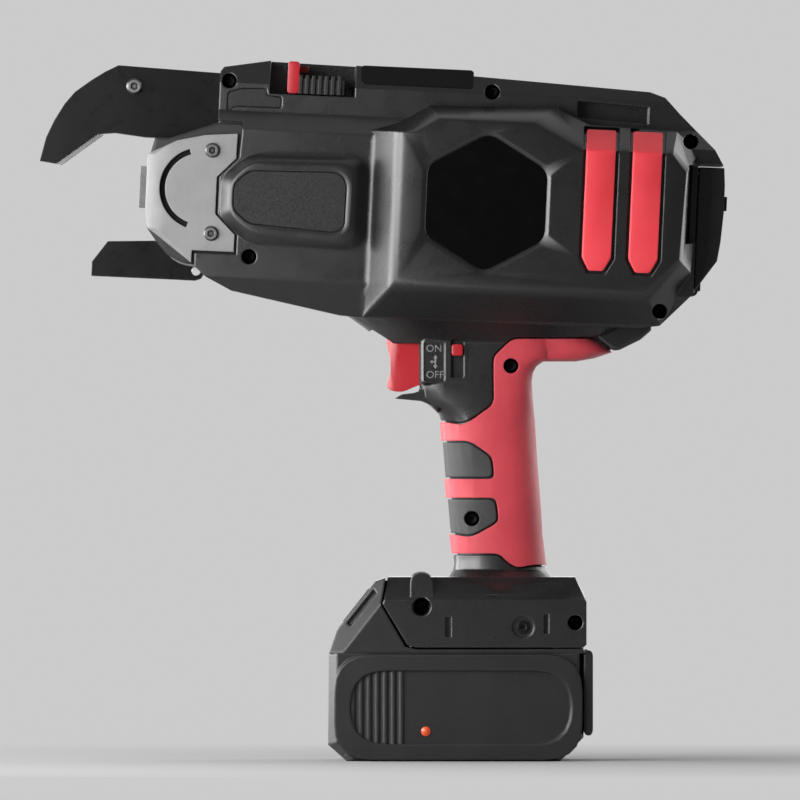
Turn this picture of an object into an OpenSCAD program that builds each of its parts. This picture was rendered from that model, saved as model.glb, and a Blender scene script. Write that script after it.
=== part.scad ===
// Cordless rebar tying tool: a pistol-shaped wire tier with a curling arm at
// the nose, a wire reel behind a rear door and a slide-on battery pack.
// Millimetres, +Z up, nose towards -X, operator at +X, left-hand side at -Y.
// The origin is the centre of the battery pack's base.

/* [Head] */
// Length of the head from the nose plates to the rear corner
head_l = 250; // [244:1:258]
// Height of the head above its reference line at the top of the handle
head_h = 115; // [112:1:120]
// Width across the two side bulges
head_w = 104; // [100:1:112]
// Width of the narrower front body
front_w = 76; // [74:1:80]
// Width of the top rail
rail_w = 58; // [56:1:62]
// Reach of the nose plates ahead of the handle's reference line
nose_reach = 152; // [146:1:156]
// Nose-up tilt of the head against the base, in degrees
head_tilt = 2.6; // [0:0.1:4]
// Wall of the moulded shells
wall = 3; // [2.6:0.1:3.4]
// Height of the name boss on the front body
boss_h = 5; // [3:0.5:6]
// Depth of the recesses that hold the bare panels
recess_d = 1; // [0.6:0.1:1.4]
// Height that the bumper stripes stand proud
bumper_proud = 0.9; // [0.4:0.1:1.4]
// Width of one bumper stripe
bumper_w = 12.8; // [10:0.2:14]
// Pitch of the two bumper stripes
bumper_pitch = 20.2; // [18:0.2:22]

/* [Nose] */
// Length of the curling arm ahead of the top rail
arm_l = 77; // [72:1:82]
// Height of the curling arm
arm_h = 44; // [42:1:46]
// Thickness of the curling arm
arm_t = 18; // [14:1:20]
// Length of the lower guide
guide_l = 50; // [46:1:54]
// Height of the lower guide
guide_h = 16.5; // [15:0.5:18]
// Width of the lower guide
guide_w = 30; // [28:1:34]
// Sheet of the lower guide
guide_t = 2; // [1.6:0.1:2.6]
// Width of the die-cast nose frame
frame_w = 60; // [56:1:62]
// Thickness of one nose plate
nose_plate_t = 3.5; // [3:0.1:4]
// Radius of the bore for the twisting hook
hook_bore_r = 16.5; // [16.3:0.1:17]

/* [Handle] */
// Height of the handle from the foot to the head's reference line
handle_h = 105; // [100:1:112]
// Depth of the grip from front to back
handle_d = 41.4; // [39:0.2:45]
// Width of the grip
handle_w = 36; // [34:0.5:40]
// Front of the grip, from the middle of the pack
handle_x = -9.2; // [-12:0.2:-7]
// Thickness of the soft overmould
grip_t = 2.4; // [2:0.1:3]
// Width of the trigger
trigger_w = 19; // [16:0.5:20]

/* [Foot and pack] */
// Length of the foot
foot_l = 88.5; // [86:0.5:92]
// Height of the foot
foot_h = 30.5; // [29:0.5:33]
// Width of the foot
foot_w = 72; // [68:1:74]
// Length of the battery pack's case
pack_l = 115; // [113:0.5:118]
// Height of the battery pack up to the top of its front tower
pack_h = 79.5; // [78:0.5:82]
// Width of the battery pack across its side rims
pack_w = 75; // [74:0.5:80]
// Height that the side rims stand proud
rim_h = 2; // [1:0.2:2.4]
// Diameter of one battery cell
cell_d = 18.3; // [17:0.1:18.6]
// Length of one battery cell
cell_l = 65; // [60:0.5:66]

/* [Mechanism] */
// Diameter of the twisting motor
motor_d = 37; // [34:0.5:38]
// Length of the twisting motor
motor_l = 48; // [44:1:49]
// Diameter of the gearbox
gearbox_d = 42; // [40:0.5:44]
// Length of the gearbox
gearbox_l = 24; // [22:1:26]
// Radius of the twisting shaft
shaft_r = 5; // [4:0.1:5.6]
// Travel of the hook sleeve
sleeve_travel = 8; // [5:0.5:9]
// Radius of a feed roller
roller_r = 5.5; // [5:0.1:5.8]
// Diameter of the tying wire
wire_d = 0.8; // [0.6:0.1:1.2]
// Module of the feed gears
gear_m = 1; // [0.9:0.05:1]
// Diameter of the wire reel
reel_d = 48; // [44:0.5:49]
// Width of the wire reel
reel_w = 46; // [42:0.5:47]
// Travel of the release slide
slide_travel = 6.5; // [4:0.5:6.5]

/* [Clearances] */
// Gap between pieces that move past each other
gap = 0.3; // [0.2:0.05:0.4]
// Radial running clearance of pins and shafts
fit = 0.05; // [0.02:0.01:0.08]
// Clearance round pieces that are fixed in a seat
seat = 0.1; // [0.05:0.05:0.15]

/* [Hidden] */
$fn = 48;

// Overrun of every cut past the face that it opens
cut = 1;
// Steps round half of a handle section, and round one rounded corner
ring_n = 12;
corner_n = 5;

// Colours as the product shows them
housing_colour = [0.13, 0.13, 0.14];
panel_colour = [0.07, 0.07, 0.08];
red_colour = [0.78, 0.16, 0.2];
grip_colour = [0.72, 0.22, 0.28];
steel_colour = [0.72, 0.73, 0.75];
black_steel_colour = [0.1, 0.1, 0.11];
plate_colour = [0.42, 0.42, 0.44];
pack_colour = [0.11, 0.11, 0.12];
brass_colour = [0.75, 0.6, 0.3];
board_colour = [0.1, 0.35, 0.2];

// Levels of the pack, the foot and the head
deck_share = 0.61;
foot_x_share = -0.297;
pack_x_share = -0.503;
foot_gap = 0.9;
foot_z = deck_share * pack_h + foot_gap;
foot_x = foot_x_share * pack_l;
pack_x = pack_x_share * pack_l;
foot_top = foot_z + foot_h;
head_z = foot_top + handle_h;
head_x = 12.4;

// A point of the head from shares of its length and height
function hu(s) = s * head_l - nose_reach;
function hw(s) = s * head_h;
function hpt(p) = [hu(p[0]), hw(p[1])];
function hpts(shares) = [for (p = shares) hpt(p)];
// A point of the handle, the foot or the pack from shares of its box
function gpt(p) = [handle_x + p[0] * handle_d, foot_top + p[1] * handle_h];
function gpts(shares) = [for (p = shares) gpt(p)];
function fpt(p) = [foot_x + p[0] * foot_l, foot_z + p[1] * foot_h];
function fpts(shares) = [for (p = shares) fpt(p)];
function ppt(p) = [pack_x + p[0] * pack_l, p[1] * pack_h];
function ppts(shares) = [for (p = shares) ppt(p)];

// Outline helpers: outlines run clockwise as the left-hand side shows them
function unit(v) = v / norm(v);
function right_of(a, b) = let (t = unit(b - a)) [t[1], -t[0]];
function inset(pts, d) = let (n = len(pts)) [for (i = [0:n - 1])
    let (p = right_of(pts[(i + n - 1) % n], pts[i]), q = right_of(pts[i], pts[(i + 1) % n]))
    pts[i] + d * (p + q) / (1 + p * q)];
function bend(a, b, c, t) = (1 - t) * (1 - t) * a + 2 * t * (1 - t) * b + t * t * c;
function rounded(pts, r) = let (n = len(pts)) [for (i = [0:n - 1])
    let (a = pts[(i + n - 1) % n], b = pts[i], c = pts[(i + 1) % n],
        s = b + unit(a - b) * min(r, norm(a - b) / 2),
        e = b + unit(c - b) * min(r, norm(c - b) / 2))
    each [for (k = [0:corner_n]) bend(s, b, e, k / corner_n)]];
function rect(a, b) = [[a[0], b[1]], b, [b[0], a[1]], a];

// A prism of an outline in the XZ plane between two depths
module ext(points, y0, y1) {
    translate([0, y1, 0]) rotate([90, 0, 0]) linear_extrude(y1 - y0) polygon(points);
}
// A round bar along Y at a point of the XZ plane
module bar(p, r, y0, y1) {
    translate([p[0], y1, p[1]]) rotate([90, 0, 0]) cylinder(r = r, h = y1 - y0);
}
// A round rod along the head's axis, at a height
module rod(u0, u1, w, r) {
    translate([u0, 0, w]) rotate([0, 90, 0]) cylinder(r = r, h = u1 - u0);
}
// A block between two corners
module block(a, b) {
    translate(a) cube(b - a);
}
// A skin through rings of equal counts, each ring turning anticlockwise about the stacking way
module loft(rings) {
    n = len(rings[0]);
    m = len(rings);
    polyhedron(
        points = [for (r = rings) each r],
        faces = concat(
            [[for (i = [0:n - 1]) i]],
            [for (j = [0:m - 2]) for (i = [0:n - 1]) let (k = (i + 1) % n)
                each [[j * n + i, j * n + n + i, j * n + n + k], [j * n + i, j * n + n + k, j * n + k]]],
            [[for (i = [n - 1:-1:0]) (m - 1) * n + i]]));
}
// Rings of the same outline count stacked along Y
function at_y(points, y) = [for (p = points) [p[0], y, p[1]]];
// The head stands on the handle, tilted nose up
module head() {
    translate([head_x, 0, head_z]) rotate([0, head_tilt, 0]) children();
}
// The left-hand half is the mirror of the right-hand half
module left() {
    mirror([0, 1, 0]) children();
}

// Head outlines, as shares of its length and height
silhouette_shares = [[0.12, 0.765], [0.12, 0.95], [0.126, 0.968], [0.208, 1], [0.357, 0.995],
    [0.867, 0.945], [0.894, 0.926], [0.92, 0.868], [0.984, 0.737], [1, 0.678], [0.957, 0.678],
    [0.957, 0.19], [0.902, 0.065], [0.867, 0.053], [0.38, 0.045], [0.345, 0.05], [0.155, 0.125],
    [0.11, 0.173], [0.09, 0.21], [0.09, 0.26], [0.162, 0.26], [0.162, 0.333], [0.127, 0.41],
    [0.127, 0.552], [0.16, 0.626], [0.164, 0.765]];
plateau_shares = [[0.436, 0.751], [0.464, 0.755], [0.504, 0.808], [0.67, 0.808], [0.752, 0.714],
    [0.91, 0.714], [0.936, 0.645], [0.93, 0.313], [0.876, 0.177], [0.436, 0.176]];
bulge_base_shares = [[0.386, 0.752], [0.432, 0.783], [0.486, 0.856], [0.704, 0.868],
    [0.765, 0.81], [0.916, 0.8], [0.956, 0.722], [0.956, 0.26], [0.902, 0.065], [0.386, 0.048]];
boss_base_shares = [[0.179, 0.645], [0.358, 0.653], [0.386, 0.626], [0.386, 0.322],
    [0.362, 0.29], [0.183, 0.3], [0.13, 0.396], [0.13, 0.552]];
boss_top_shares = [[0.182, 0.613], [0.344, 0.622], [0.362, 0.59], [0.36, 0.357], [0.344, 0.326],
    [0.186, 0.343], [0.146, 0.413], [0.146, 0.54]];
panel_shares = [[0.178, 0.581], [0.332, 0.59], [0.349, 0.551], [0.348, 0.377], [0.331, 0.357],
    [0.181, 0.377], [0.152, 0.43], [0.152, 0.528]];
label_shares = [[0.134, 0.8], [0.134, 0.874], [0.156, 0.89], [0.202, 0.895], [0.203, 0.868],
    [0.229, 0.865], [0.229, 0.82], [0.15, 0.82]];
window_shares = [[0.742, 0.835], [0.742, 0.9], [0.866, 0.887], [0.866, 0.823]];
window_d = 8;
finger_slot_shares = [[0.94, 0.675], [0.965, 0.675], [0.965, 0.386], [0.939, 0.377]];
// Head cross-section: belly, rail crest and the levels between, as shares
belly_share = 0.73;
crest_share = 0.77;
section_w_shares = [0.03, 0.175, 0.735, 0.805, 0.91, 1.005];
// Where the bulge leaves the front body's width
bulge_y_share = 0.95;
hex_centre_share = [0.59, 0.498];
hex_r = 30;
hex_round = 4;
hex_rim = 2;
boss_round = 5;
panel_round = 3;
label_round = 1.5;
// Seam round the name panel and the label panel
panel_seam = 0.5;
axis_share = 0.5;
axis_w = hw(axis_share);

// Bumper stripes, as shares of a stripe's width across and of the head's height
bumper_mid_share = 0.786;
bumper_shares = [[-0.5, 0.793], [0.5, 0.793], [0.5, 0.31], [0.25, 0.26], [-0.25, 0.26], [-0.5, 0.31]];
bumper_d = 2;
bumper_groove = 1.3;

// Release slide's notch in the top rail
notch_shares = [0.874, 1.1];
notch_end_share = 0.355;
notch_back_share = 0.45;
slide_shares = [[0.237, 0.879], [0.257, 1]];
pad_shares = [[0.257, 0.879], [0.336, 0.95]];
slide_in_share = 0.93;
rib_count = 7;
rib_h = 1.4;
rib_w_share = 0.5;
tail_shares = [[0.336, 0.914], [0.398, 0.932]];
tail_t = 8;
peg_shares = [[0.257, 0.962], [0.272, 0.985]];

// Nose outlines
nose_plate_shares = [[0, 0.626], [0.05, 0.681], [0.098, 0.706], [0.155, 0.717], [0.154, 0.623],
    [0.122, 0.55], [0.122, 0.41], [0.157, 0.335], [0.157, 0.27], [0.084, 0.27], [0.084, 0.223],
    [0.017, 0.33], [0.005, 0.347], [0, 0.419]];
nose_bevel = 3;
nose_bevel_zone_share = 0.03;
frame_front_shares = [[0.166, 0.67], [0.207, 0.67], [0.207, 0.336], [0.167, 0.336], [0.167, 0.252],
    [0.095, 0.252], [0.087, 0.217], [0.066, 0.224], [0.041, 0.249], [0.022, 0.296], [0.004, 0.348],
    [0.004, 0.622]];
frame_face_share = 0.004;
frame_back_share = 0.166;
// The lug for the guide's pin and the room round it, as shares of the guide
frame_lug_shares = [[0.84, 0.8], [0.995, 0.8], [0.995, 0.23], [0.945, 0.105], [0.875, 0.105], [0.84, 0.23]];
lug_pocket_shares = [[0.795, -0.12], [1.035, 0.775]];
nose_screw_shares = [[0.112, 0.65], [0.116, 0.336]];
nose_screw_r = 3.2;
nose_screw_h = 1.8;
nose_shank_r = 1.5;
nose_shank_l = 7;
arc_centre_share = [0.095, 0.503];
arc_r = 15.5;
arc_slot = 2.4;
arc_deep = 5;
arc_sweep = 144;

// Curling arm, as shares of its length and height
rail_front_share = 0.12;
rail_mouth_shares = [0.762, 0.93];
arm_foot_share = 0.575;
arm_z = hw(arm_foot_share);
function apt(p) = [hu(rail_front_share) - arm_l * (1 - p[0]), arm_z + p[1] * arm_h];
function apts(shares) = [for (p = shares) apt(p)];
arm_inner_shares = [[1, 0.475], [0.73, 0.3], [0.59, 0.3], [0.42, 0.33], [0.315, 0.31], [0.09, 0]];
arm_outer_shares = [[0, 0.02], [0.03, 0.257], [0.073, 0.432], [0.126, 0.595], [0.18, 0.716],
    [0.27, 0.84], [0.348, 0.932], [0.42, 1], [1, 0.968]];
insert_shares = [[0.09, 0], [0.315, 0.31], [0.352, 0.305], [0.125, -0.008]];
tongue_shares = [[0.7, 0.2], [0.95, 0.6]];
arm_screw_share = [0.515, 0.8];
arm_screw_r = 3.5;
arm_screw_h = 2.2;
arm_shank_r = 2;
groove_w = 3;
groove_shares = [[0.86, 0.6], [0.73, 0.42], [0.59, 0.42], [0.42, 0.45], [0.3, 0.42], [0.05, 0.06],
    [0.09, -0.1], [0.42, 0.2], [0.73, 0.2], [1.02, 0.4], [1.02, 0.7]];

// Lower guide, as shares of its length and height
guide_front_share = -0.089;
guide_floor_share = 0.157;
guide_u = hu(guide_front_share);
guide_z = hw(guide_floor_share);
function lpt(p) = [guide_u + p[0] * guide_l, guide_z + p[1] * guide_h];
function lpts(shares) = [for (p = shares) lpt(p)];
guide_shares = [[0, 0.376], [0.13, 0.93], [0.54, 1], [0.69, 0.72], [0.94, 0.44], [0.985, 0.25],
    [0.95, 0.06], [0.9, 0], [0, 0]];
channel_shares = [[-0.1, 0], [1.1, 1.2]];
floor_end_share = [0.78, 0];
guide_pin_share = [0.91, 0.25];
guide_pin_r = 2;
pin_head = 1;
contact_shares = [0.424, 0.58];
contact_t = 3;
contact_w = 32;
contact_slot_w = 20;
contact_slot_h = 11;

// Twisting drive along the head's axis
gearbox_share = 0.216;
bore_shares = [-0.05, 0.3];
gearbox_u = hu(gearbox_share);
motor_u = gearbox_u + gearbox_l;
shaft_front_share = 0.085;
shaft_in = 8;
sleeve_l = 26;
sleeve_r = 12;
collar_r = 16;
collar_t = 3;
collar_gap = 6.5;
hook_share = 0.012;
hook_w = 2.6;
hook_y = 1.4;
hook_h = 5;
hook_lip = 2.6;
hook_lip_l = 4;
motor_cap_t = 4;
motor_cap_r_share = 0.8;
motor_can_t = 2;
rotor_r_share = 0.5;

// Feed unit
feed_share = 0.528;
wire_share = 0.835;
feed_u = hu(feed_share);
wire_w = hw(wire_share);
drive_p = [feed_u, wire_w - wire_d / 2 - roller_r];
idler_p = [feed_u, wire_w + wire_d / 2 + roller_r];
roller_t = 8;
roller_groove = 0.4;
feed_shaft_r = 2.5;
gear_teeth = 28;
pinion_teeth = 12;
gear_t = 5;
gear_y = 7.5;
pressure = 25;
addendum_share = 0.8;
dedendum_share = 1.1;
tooth_gap = 0.12;
mesh_angle = -35;
gear_pitch_r = gear_m * gear_teeth / 2;
pinion_pitch_r = gear_m * pinion_teeth / 2;
mesh_d = gear_pitch_r + pinion_pitch_r + tooth_gap;
pinion_p = drive_p + mesh_d * [cos(mesh_angle), sin(mesh_angle)];
feed_motor_r = 12;
feed_motor_l = 44;
feed_motor_y = 4.5;
feed_motor_shaft_r = 1.5;
feed_plate_shares = [[0.43, 0.56], [0.64, 1]];
plate_y = 15.5;
plate_t = 2.5;
idler_pin_r = 1.5;
lever_t = 2;
lever_y = 5;
lever_p_share = [0.464, 0.913];
lever_pin_r = 1.5;
lever_shares = [[0.384, 0.882], [0.384, 0.902], [0.448, 0.937], [0.478, 0.937], [0.528, 0.927],
    [0.546, 0.917], [0.546, 0.862], [0.522, 0.856], [0.47, 0.882]];
lever_bridge_share = 0.432;
lever_room_shares = [[0.374, 0.845], [0.552, 0.95]];
tube_r = 1.6;
tube_bore_r = 0.9;
tube_shares = [0.203, 0.49];

// Cutter behind the nose
cutter_share = 0.17;
cutter_p = [hu(cutter_share), wire_w];
cutter_pin_r = 4;
cutter_r = 7.5;
cutter_t = 9;
cutter_arm_w = 4;
cutter_tip = 1.2;
cutter_plate_y = 9;
cutter_plate_shares = [[0.132, 0.765], [0.203, 0.97]];

// Reel bay and reel
reel_share = [0.852, 0.44];
reel_p = hpt(reel_share);
reel_flange_t = 2;
reel_hub_r = 11;
stub_r = 5;
stub_l = 8;
bay_side = 1.2;
bay_y = reel_w / 2 + bay_side;
bay_wall = 2.4;
bay_front_share = 0.738;
bay_shares = [[0.93, 0.232], [1.02, 0.664]];
coil_drop = 1.5;

// Rear door and its latch
door_y = 30;
door_t = 2.5;
door_reach = 11.4;
door_shares = [[0, 0.989], [0.95, 0.989], [1, 0.857], [1.01, 0.66], [0.93, 0.413], [0.83, 0.264],
    [0.14, 0.06], [0, 0.03]];
door_foot_share = 0.19;
door_top_share = 0.676;
door_seat_share = 0.9585;
door_u = hu(door_seat_share);
function dpt(p) = [door_u + p[0] * door_reach,
    hw(door_foot_share) + p[1] * hw(door_top_share - door_foot_share)];
function dpts(shares) = [for (p = shares) dpt(p)];
door_pin_share = [0.956, 0.203];
door_pin_r = 1.25;
knuckle_r = 2.4;
knuckle_y = 16;
knuckle_t = 6;
knuckle_web_share = [0.25, 0.12];
door_back_share = [1.01, 0];
latch_w = 18;
latch_flange = 3;
latch_shares = [[0.93, 0.66], [1.13, 0.77]];
latch_travel = 3;

// Handle sections: height, front, back and width, as shares of the handle, and for boxier ones the power
handle_ring_shares = [[-0.075, -0.12, 1.33, 1.33], [-0.037, -0.02, 1.27, 1.19], [0, 0.09, 1.19, 1.04],
    [0.058, 0.133, 1.116, 0.97], [0.17, 0.1, 1.08, 0.98], [0.3, 0.07, 1.06, 1], [0.42, 0.04, 1.035, 1],
    [0.56, 0.012, 1.012, 0.98], [0.64, 0, 1, 0.96], [0.676, -0.03, 0.99, 0.94, 0.6],
    [0.71, -0.13, 0.983, 0.93, 0.52], [0.743, -0.237, 0.976, 0.92, 0.46], [0.81, -0.256, 0.966, 0.91, 0.42],
    [0.845, -0.256, 0.978, 0.91, 0.42], [0.872, -0.256, 1.015, 0.91, 0.42], [0.89, -0.256, 1.08, 0.91, 0.42],
    [0.9, -0.256, 1.16, 0.91, 0.42], [0.933, -0.26, 1.22, 0.91, 0.42], [1.05, -0.26, 1.22, 0.92, 0.42]];
// The outer skin flares over the foot's bevel in place of the first sections
flare_ring_shares = [[-0.075, -0.25, 1.38, 1.98], [-0.037, -0.1, 1.3, 1.77], [-0.005, 0.05, 1.21, 1.32],
    [0.03, 0.118, 1.14, 1.01]];
flare_from = 3;
tail_ring_shares = [[0.892, 0.83, 1.43, 0.53], [0.905, 0.83, 1.62, 0.69], [0.93, 0.83, 1.81, 0.78],
    [0.957, 0.83, 1.74, 0.81], [1, 0.83, 1.58, 0.81]];
neck_ring_shares = [[0.967, -0.6, 1.72, 0.86], [0.995, -0.68, 1.84, 1], [1.03, -0.79, 1.99, 1.22],
    [1.086, -0.99, 2.15, 1.56]];
section_power_share = 0.68;
skin_drop = 0.7;
grip_groove = 0.8;
grip_round = 3;
grip_shares = [[0.76, 0.986], [1.62, 0.986], [1.91, 0.943], [1.82, 0.885], [1.43, 0.862],
    [1.43, 0.05], [0.95, 0.05], [0.81, 0.036], [0.69, 0.068], [0.626, 0.097], [-0.21, 0.097],
    [-0.21, 0.64], [0.077, 0.64], [0.232, 0.628], [0.33, 0.648], [0.568, 0.715], [0.563, 0.912]];
upper_window_shares = [[-0.21, 0.564], [0.312, 0.564], [0.55, 0.5], [0.575, 0.405], [-0.21, 0.405]];
lower_window_shares = [[-0.21, 0.328], [0.592, 0.328], [0.616, 0.245], [0.6, 0.222], [0.33, 0.163],
    [0.09, 0.177], [-0.21, 0.177]];
lip_shares = [[-0.478, 0.738], [-0.4, 0.756], [-0.273, 0.762], [-0.14, 0.781], [-0.019, 0.781],
    [-0.019, 0.676], [-0.09, 0.71], [-0.2, 0.728]];
lip_w_share = 0.72;
pocket_shares = [[-0.79, 1.005], [-0.6, 1.052], [-0.16, 1.052], [-0.005, 1.01], [-0.005, 0.786],
    [-0.188, 0.786], [-0.273, 0.766], [-0.406, 0.759], [-0.79, 0.759]];
trigger_shares = [[-0.46, 1.034], [-0.3, 1.034], [-0.14, 0.998], [-0.068, 0.962], [-0.068, 0.857],
    [-0.116, 0.81], [-0.278, 0.785], [-0.389, 0.766], [-0.488, 0.768], [-0.546, 0.778], [-0.558, 0.797],
    [-0.519, 0.845], [-0.524, 0.908], [-0.57, 0.979]];
trigger_round = 1.5;
trigger_edge = 4.5;
trigger_pin_share = [-0.379, 1];
trigger_pin_r = 1.5;
trigger_pin_l = 26;
switch_shares = [[0, 0.83], [0.3, 0.93]];
switch_w = 10;
plunger_shares = [[-0.018, 0.87], [0, 0.89]];
plunger_w = 4;
shelf_t = 2;
power_slot_shares = [[0.115, 0.825], [0.248, 0.984]];
power_body_shares = [[0.058, 0.802], [0.314, 1.007]];
power_body_y = [9, 13];
knob_shares = [[0.124, 0.916], [0.238, 0.963]];
knob_out = 1.1;
// Half width of the grip beside the switches
side_share = 0.91;
legend_shares = [[-0.17, 0.81], [0.05, 0.972]];
legend_d = 0.5;
// Flat cheek that carries the switch and its legend
cheek_shares = [[-0.2, 0.795], [0.32, 0.995]];
cheek_bevel = 1.2;
cheek_round = 2;
passage_r = 5;
passage_share = 0.6;

// Housing screws: heads in deep counterbores, seats as shares of the local half width
screw_head_r = 2.9;
screw_head_h = 2.4;
head_edge_share = 0.35;
socket_share = 0.5;
socket_deep_share = 0.6;
screw_r = 1.6;
screw_hole_r = 3.3;
screw_end = 10;
screw_boss_r = 4.6;
head_screw_shares = [[0.136, 0.916], [0.593, 0.918], [0.184, 0.255], [0.9, 0.119], [0.941, 0.764]];
head_screw_seat_shares = [0.3, 0.36, 0.42, 0.55, 0.4];
handle_screw_shares = [[0.746, 0.874], [0.336, 0.241]];
handle_screw_seat_share = 0.45;
foot_screw_shares = [[0.19, 0.58], [0.944, 0.354]];
foot_screw_seat_share = 0.5;
rail_screw_share = [0.688, 0.292];
rail_screw_ring_r = 4.8;
rail_screw_ring_d = 1.2;

// Foot outlines: middle and side face, and the rails for the pack
foot_shares = [[0.026, 1], [0.944, 1], [0.988, 0.77], [1, 0.643], [1, 0.04], [0.985, 0],
    [0.166, 0], [0.122, 0.036], [0, 0.62]];
foot_side_shares = [[0.007, 0.675], [0.992, 0.675], [0.997, 0.666], [1, 0.643], [1, 0.04],
    [0.985, 0], [0.166, 0], [0.122, 0.036], [0, 0.62]];
foot_crown_share = 0.76;
foot_slot_shares = [[0.307, 0.15], [0.336, 0.434]];
foot_rear_slot_shares = [[0.79, 0.2], [0.814, 0.472]];
foot_slot_d = 3;
// Column over the front screw of the foot
column_r = 4.8;
column_hole_r = 4.1;
column_top = 2;
column_in = 10;
column_drop = 1;
rail_neck_y = 19.5;
rail_head_y = 25.5;
rail_lip_h = 4;
rail_head_h = 6.4;
rail_end_shares = [-0.1, 0.885];
blade_t = 0.8;
blade_y = 10;
blade_slot = 1.6;
blade_h = 4;
blade_l = 16;
terminal_t = 4;
terminal_lip = 1;

// Pack outlines: tower, deck, tray and side rims
upper_shares = [[0.217, 1], [0.2, 0.854], [0.292, 0.625], [0.333, 0.61], [0.797, 0.612],
    [0.965, 0.614], [0.965, 0.589], [0.004, 0.589], [0.034, 0.714], [0.178, 0.981]];
tray_shares = [[0.003, 0.589], [0.965, 0.589], [0.965, 0.13], [0.877, 0], [0.07, 0], [0, 0.09]];
tray_side_shares = [[0.033, 0.589], [0.946, 0.589], [0.946, 0.138], [0.868, 0.015], [0.094, 0.015],
    [0.033, 0.1]];
rim_shares = [[0.023, 0.008], [0.96, 0.581]];
panel_window_shares = [[0.083, 0.093], [0.919, 0.496]];
rim_round = 16;
pack_crown_share = 0.78;
pack_wall = 2.2;
pack_front = 7;
pack_floor = 2.9;
pack_rib_count = 7;
pack_rib_pitch = 3.5;
pack_rib_h = 1;
pack_rib_shares = [0.086, 0.09, 0.5];
cell_pitch_share = 1.06;
cell_mid_share = 0.48;
bumper_strip_shares = [[0.965, 0.14], [1, 0.606]];
strip_round = 3;
button_shares = [[0.152, 0.94], [0.056, 0.762], [0.09, 0.72], [0.185, 0.895]];
button_w = 30;
button_travel = 3;
side_slot_shares = [[0.172, 0.94], [0.185, 0.915], [0.085, 0.735], [0.07, 0.755]];
side_slot_d = 7;
// Key on the back of the tower that closes the seam in front of the foot
key_shares = [[0.215, 0.985], [0.2, 0.854], [0.292, 0.625]];
key_l = 3;
key_y = 12;

// Head form: the barrel from its silhouette and cross-section, with an inner wall
function section(d) = let (f = front_w / 2, r = rail_w / 2, s = section_w_shares) inset([
    [-f * belly_share, hw(s[0])], [-f, hw(s[1])], [-f, hw(s[2])], [-r, hw(s[3])], [-r, hw(s[4])],
    [-r * crest_share, hw(s[5])], [r * crest_share, hw(s[5])], [r, hw(s[4])], [r, hw(s[3])],
    [f, hw(s[2])], [f, hw(s[1])], [f * belly_share, hw(s[0])]], d);
module barrel(d, lap) {
    intersection() {
        ext(inset(hpts(silhouette_shares), d), -lap, front_w);
        translate([-head_l, 0, 0]) rotate([90, 0, 90]) linear_extrude(head_l + head_l)
            polygon(section(d));
    }
}
// The side bulge, lofted from its base to its plateau
module bulge(d, lift, lap) {
    base = inset(hpts(bulge_base_shares), d);
    top = inset(hpts(plateau_shares), d);
    loft(concat([at_y(base, -lap)],
        eased(base, top, bulge_y_share * front_w / 2 + lift, head_w / 2 + lift)));
}
// Rings from a base outline to a top outline, with the shoulder eased over
ease_shares = [[0, 0], [0.78, 0.8], [0.92, 0.925], [1.03, 0.982], [1.13, 1]];
function eased(base, top, y0, y1) = [for (s = ease_shares)
    at_y(base + s[0] * (top - base), y0 + s[1] * (y1 - y0))];
module name_boss() {
    base = rounded(hpts(boss_base_shares), boss_round);
    top = rounded(hpts(boss_top_shares), boss_round);
    loft(concat([at_y(base, front_w / 2 - cut)], eased(base, top, front_w / 2, boss_y)));
}

// Handle sections as half rings, pushed in by a depth
function signed_pow(v, e) = sign(v) * pow(abs(v), e);
function half_ring(row, d, lap) = let (
        f = handle_x + row[1] * handle_d + d,
        b = handle_x + row[2] * handle_d - d,
        w = row[3] * handle_w / 2 - d,
        z = foot_top + row[0] * handle_h,
        e = len(row) > 4 ? row[4] : section_power_share)
    [for (i = [0:ring_n]) let (a = 180 * i / ring_n)
        [(f + b) / 2 + (b - f) / 2 * signed_pow(cos(a), e),
        i == 0 || i == ring_n ? -lap : w * signed_pow(sin(a), e), z]];
module ring_loft(rows, d, lap) {
    loft([for (row = rows) half_ring(row, d, lap)]);
}
function skin_rings() = concat(flare_ring_shares,
    [for (i = [flare_from:len(handle_ring_shares) - 1]) handle_ring_shares[i]]);
module handle_form(d, lap) {
    ring_loft(handle_ring_shares, d, lap);
    ring_loft(tail_ring_shares, d, lap);
}
// The overmould's field, with its two windows left open
module grip_field(grow, y1) {
    difference() {
        ext(rounded(inset(gpts(grip_shares), -grow), grip_round), -cut, y1);
        ext(rounded(inset(gpts(upper_window_shares), grow), grip_round), -cut - cut, y1 + cut);
        ext(rounded(inset(gpts(lower_window_shares), grow), grip_round), -cut - cut, y1 + cut);
    }
}
module foot_form() {
    mid = fpts(foot_shares);
    loft([at_y(mid, 0), at_y(mid, foot_crown_share * foot_w / 2),
        at_y(fpts(foot_side_shares), foot_w / 2)]);
}
module foot_column() {
    p = fpt(foot_screw_shares[0]);
    ext(rounded(rect([p[0] - column_r, p[1] - column_r], [p[0] + column_r, foot_top + column_top]), column_r),
        foot_w / 2 - column_in, foot_w / 2 - column_drop);
}

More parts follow.
